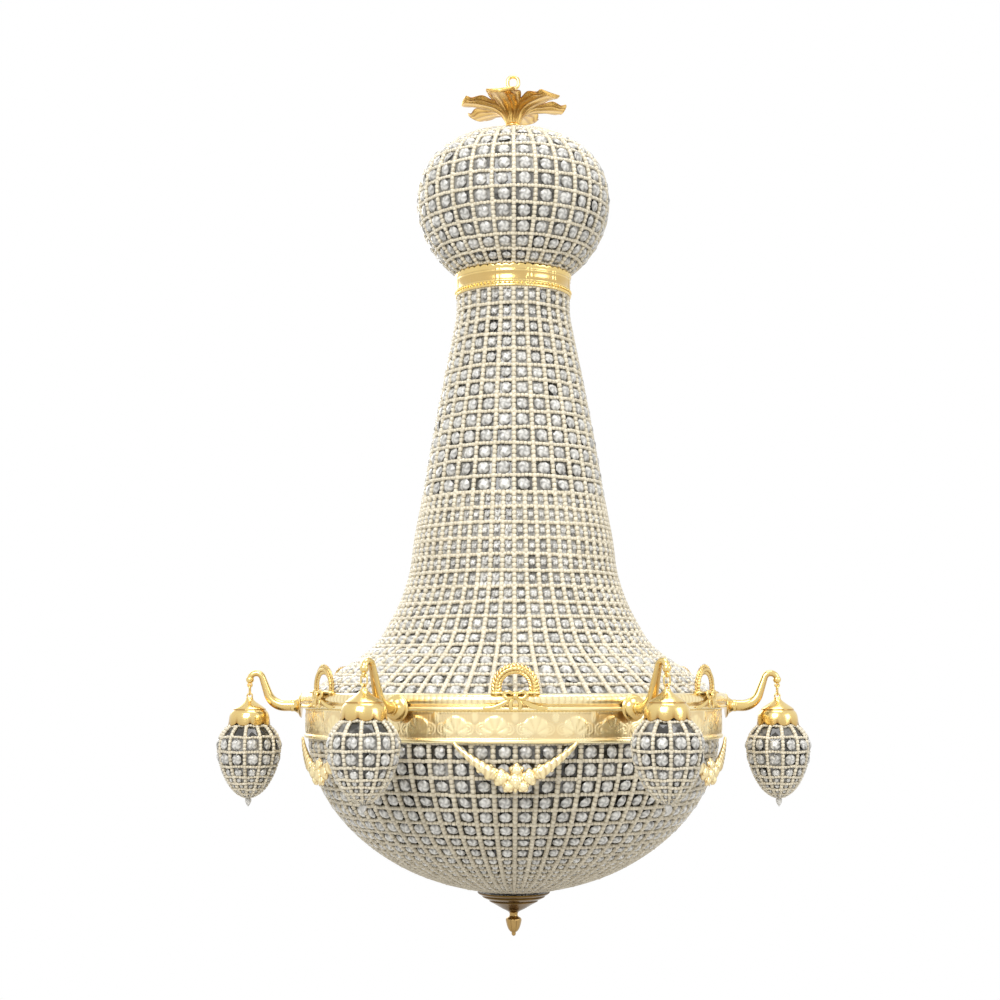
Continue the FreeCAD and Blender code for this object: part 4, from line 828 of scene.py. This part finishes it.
plate_outline = rounded_outline([
    (0.0051, -1.1612), (0.0400, -1.1612), (0.0490, -1.1602), (0.0500, -1.1610), (0.0492, -1.1622),
    (0.0462, -1.1640), (0.0432, -1.1654), (0.0436, -1.1664), (0.0425, -1.1674), (0.0388, -1.1692),
    (0.0336, -1.1716), (0.0338, -1.1725), (0.0328, -1.1734), (0.0275, -1.1762), (0.0215, -1.1796),
    (0.0160, -1.1828), (0.0115, -1.1850), (0.0092, -1.1860), (0.0051, -1.1860), (0.0051, -1.1612)], 3)
made("bottom_rosette", skin(turned(plate_outline, 96)), aged_brass, "root", ["bottom_plate"])
drop_outline = rounded_outline([
    (0.0, -1.1860), (0.0075, -1.1860), (0.0068, -1.1876), (0.0058, -1.1895), (0.0056, -1.1918),
    (0.0066, -1.1938), (0.0096, -1.1956), (0.0107, -1.1980), (0.0105, -1.2005), (0.0093, -1.2055),
    (0.0074, -1.2105), (0.0048, -1.2140), (0.0030, -1.2150), (0.0030, -1.2170), (0.0021, -1.2192),
    (0.0, -1.2205)], 4)
DROP_SIDES, DROP_FLUTES = 96, 8
flute = np.abs(np.cos(DROP_FLUTES / 2 * ring_angles(DROP_SIDES)))
drop_body = ((drop_outline[:, 1:] < -1.1960) & (drop_outline[:, 1:] > -1.2135)) * 1.0
drop_grid = turned(drop_outline, DROP_SIDES)
drop_grid[..., :2] *= (1 + 0.035 * drop_body * (flute - 0.6))[..., None]
# Painted shade over the whole drop, and more in the troughs between its flutes.
made("finial_drop", skin(drop_grid, 0.40 + 0.5 * drop_body * (flute < 0.25)),
     old_gilt, "root", ["finial"])


# ---------------------------------------------------------------- arms
# Six tapered brass tubes leave the ring level from a flared root, lift in a leaning neck and
# turn over at the tip, where a drilled ear holds the pendant's link.
ARM_LEVEL, ARM_START, ARM_REACH, EAR_DROP = -0.9047, 0.2963, 0.369, 0.0075
SIDE_ARMS, SIDE_RISE, OTHER_RISE = (1, 4), 0.045, 0.058
LIFT_BEND, OVER_BEND, LEAN = 0.025, 0.009, math.radians(20.0)
ROOT_RADIUS, ROOT_LENGTH, TUBE_ROOT, TUBE_TIP, TIP_RADIUS = 0.016, 0.015, 0.007, 0.0043, 0.0056
TUBE_THICK = [(0, 0.0074), (0.3, 0.0076), (0.55, 0.0060), (0.8, 0.0045), (1, TUBE_TIP)]
arm_round = ring_angles(24)
root_grid = turned(rounded_outline([
    (0.0, 0.0), (ROOT_RADIUS, 0.0), (ROOT_RADIUS + 0.0002, 0.0010), (ROOT_RADIUS * 0.97, 0.0022),
    (ROOT_RADIUS * 0.80, 0.0034), (TUBE_ROOT * 1.45, 0.0062), (TUBE_ROOT * 1.16, 0.0100),
    (TUBE_ROOT * 1.18, 0.0128), (TUBE_ROOT * 1.04, ROOT_LENGTH), (0.0, ROOT_LENGTH)], 4), 48)
# Painted shade on the lower side of the root.
root = skin(np.stack([ARM_START + root_grid[..., 2], root_grid[..., 1], ARM_LEVEL + root_grid[..., 0]], -1),
            np.clip(-0.6 * root_grid[..., 0] / ROOT_RADIUS, 0, 1))
ball_turn = np.linspace(0, np.pi, 13)
ear_grid = turned(rounded_outline([
    (0.00175, -0.0018), (0.0034, -0.0018), (0.0039, -0.0010), (0.0039, 0.0010), (0.0034, 0.0018),
    (0.00175, 0.0018), (0.00175, -0.0018)], 2), 24)
for number in range(1, 7):
    rise = SIDE_RISE if number in SIDE_ARMS else OTHER_RISE
    tip_level = ARM_LEVEL + rise - OVER_BEND
    up_run = (rise - OVER_BEND + OVER_BEND * math.sin(LEAN)
              - LIFT_BEND * (1 - math.sin(LEAN))) / math.cos(LEAN)
    first_run = (ARM_REACH - OVER_BEND * (1 + math.cos(LEAN)) - LIFT_BEND * math.cos(LEAN)
                 - up_run * math.sin(LEAN) - ARM_START)
    turns = [first_run, LIFT_BEND * (math.pi / 2 - LEAN), up_run, OVER_BEND * (math.pi - LEAN)]
    passed = np.linspace(0, sum(turns), 160)
    heading = np.interp(passed, np.cumsum([0] + turns),
                        [0, 0, math.pi / 2 - LEAN, math.pi / 2 - LEAN, -math.pi / 2])
    pace = np.diff(passed)
    mean = (heading[1:] + heading[:-1]) / 2
    line = np.stack([ARM_START + np.r_[0, np.cumsum(np.cos(mean) * pace)],
                     ARM_LEVEL + np.r_[0, np.cumsum(np.sin(mean) * pace)]], 1)
    thick = np.r_[0, smooth_curve(passed / passed[-1], *np.transpose(TUBE_THICK)), 0][:, None]
    line = np.concatenate([line[:1], line, line[-1:]])
    heading = np.r_[heading[0], heading, heading[-1]][:, None]
    # Painted shade on the tube's underside.
    tube = skin(np.stack([line[:, :1] - np.sin(heading) * thick * np.cos(arm_round),
                          thick * np.sin(arm_round),
                          line[:, 1:] + np.cos(heading) * thick * np.cos(arm_round)], -1),
                np.clip(-0.6 * np.cos(arm_round), 0, 1))
    tip_outline = np.stack([TIP_RADIUS * np.sin(ball_turn), tip_level + TIP_RADIUS * np.cos(ball_turn)], 1)
    tip = skin(turned(tip_outline, 24) + np.array([ARM_REACH, 0, 0]))
    ear = skin(np.stack([ARM_REACH + ear_grid[..., 0], ear_grid[..., 2],
                         tip_level - EAR_DROP + ear_grid[..., 1]], -1))
    made(f"arm_tube_{number}", turned_about(together(tube, root, tip, ear), math.radians(60 * (number - 1))),
         gilt, "root", [f"arm_{number}"])


# ---------------------------------------------------------------- pendants
# From each arm an oval wire link holds a spun cap like a bell flower with a scalloped rim. The
# cap carries a lamp holder and an egg of strung stones, which ends in a glass drop.
PENDANTS = range(1, 7)
porcelain, _, _ = new_finish("lamp_holder_porcelain", Base_Color=(0.82, 0.80, 0.76, 1.0), Roughness=0.3)
lamp_glass, _, _ = new_finish("frosted_lamp_glass", Base_Color=(0.90, 0.88, 0.83, 1.0), Roughness=0.4,
                              Transmission_Weight=0.4)
repaint([f"pendant_link_{number}" for number in PENDANTS], gilt)
repaint(["lamp_sockets"] + [f"egg_socket_{number}" for number in PENDANTS], porcelain)
repaint(["inner_bulbs"] + [f"egg_bulb_{number}" for number in PENDANTS], lamp_glass)

# The cap's outlines are (radius, share of its height), first the outside and then the inside.
CAP_TOP, CAP_TALL, CAP_SIDES, CAP_LOBES = -0.0059, 0.0365, 144, 9
cap_outside = rounded_outline([
    (0.0, 0.0), (0.0045, 0.0), (0.0050, -0.06), (0.0078, -0.14), (0.0130, -0.24), (0.0190, -0.35),
    (0.0222, -0.42), (0.0229, -0.445), (0.0227, -0.47), (0.0256, -0.56), (0.0276, -0.70),
    (0.0285, -0.85), (0.0290, -1.0)], 3)
cap_inside = rounded_outline([
    (0.0275, -1.0), (0.0268, -0.88), (0.0260, -0.76), (0.0242, -0.60), (0.0212, -0.48),
    (0.0150, -0.36), (0.0, -0.30)], 3)
cap_outline = np.concatenate([cap_outside, cap_inside])
cap_share = -cap_outline[:, 1:]
cap_grid = turned(cap_outline * [1, CAP_TALL] + [0, CAP_TOP], CAP_SIDES)
lobe = np.abs(np.cos(CAP_LOBES / 2 * ring_angles(CAP_SIDES)))
rim_share = np.clip((cap_share - 0.62) / 0.38, 0, 1) ** 1.5
cap_grid[..., 2] += 0.0022 * rim_share * (0.9 - 2 * lobe)
cap_grid[..., :2] *= (1 + 0.03 * rim_share * (lobe - 0.8))[..., None]
# Painted shade towards the scalloped rim, more in the hollows between the lobes, and in a line round the
# shoulder.
cap_shade = np.clip(0.5 * rim_share + 0.4 * rim_share * (lobe < 0.3)
                    + 0.8 * np.exp(-((cap_share - 0.46) / 0.03) ** 2), 0, 1)
LOOP_RADIUS, LOOP_WIRE, LOOP_PLAY = 0.0036, 0.0011, 0.0003
along_wire, round_wire = ring_angles(16).T, ring_angles(8)
loop_reach = LOOP_RADIUS + LOOP_WIRE * np.cos(round_wire)
cap_loop = skin(np.stack([loop_reach * np.sin(along_wire), LOOP_WIRE * np.sin(round_wire) + 0 * along_wire,
                          -LOOP_RADIUS + loop_reach * np.cos(along_wire)], -1))
bell = together(skin(cap_grid, cap_shade), cap_loop)

EGG_TOP, EGG_RADIUS, EGG_MOUTH, EGG_SHOULDER, EGG_DROP, EGG_TIP = -0.0427, 0.0454, 0.0285, 0.040, 0.074, 0.005
EGG_ROWS = [(0, 0.0195), (0.15, 0.0215), (0.54, 0.0195), (0.64, 0.0105), (1, 0.0085)]
EGG_STRINGS, EGG_ROUND = 12, 1.75
egg_middle = EGG_TOP - EGG_SHOULDER * math.sqrt(1 - (EGG_MOUTH / EGG_RADIUS) ** 2)
egg_below = quarter_curve(EGG_RADIUS, EGG_DROP, EGG_ROUND, EGG_RADIUS, EGG_TIP) * [1, -1] + [0, egg_middle]
egg_curve = np.concatenate([
    quarter_curve(EGG_RADIUS, EGG_SHOULDER, 2, EGG_MOUTH, EGG_RADIUS) + [0, egg_middle], egg_below[1:]])
# The egg's beads darken towards its foot with painted shade; the squares behind its stones, darkest at the
# top, are painted shadow.
egg_down, egg_across, egg_stones, egg_wires = strung_net(
    egg_curve, EGG_STRINGS, EGG_ROWS, stone_width=0.0150, cord=0.0054,
    painted_back_shadow=(0.95, 0.50), painted_bead_shade=(0.06, 0.22), seed=13, bare=1)
glass_drop = skin(turned([(0, -0.1440), (0.0028, -0.1445), (0.0046, -0.1470), (0.0042, -0.1500),
                          (0.0024, -0.1535), (0, -0.1567)], 10, 0.5), 0.3)
for number in PENDANTS:
    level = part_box(f"pendant_link_{number}")[0][2] + LOOP_WIRE * 3 + LOOP_PLAY
    for kind, shape, finish, slot, nodes in (
            ("bell", bell, gilt, "gilt_brass", [f"egg_cap_{number}"]),
            ("beads", together(egg_down, egg_across), bead_glass, "strung_glass", [f"egg_net_{number}"]),
            ("stones", together(egg_stones, glass_drop), stone_glass, "strung_glass", []),
            ("wires", egg_wires, steel, "plated_steel", [])):
        made(f"egg_{kind}_{number}", turned_about(shape, math.radians(60 * (number - 1)), ARM_REACH, level),
             finish, f"egg_{number}", nodes, flat=kind == "stones")
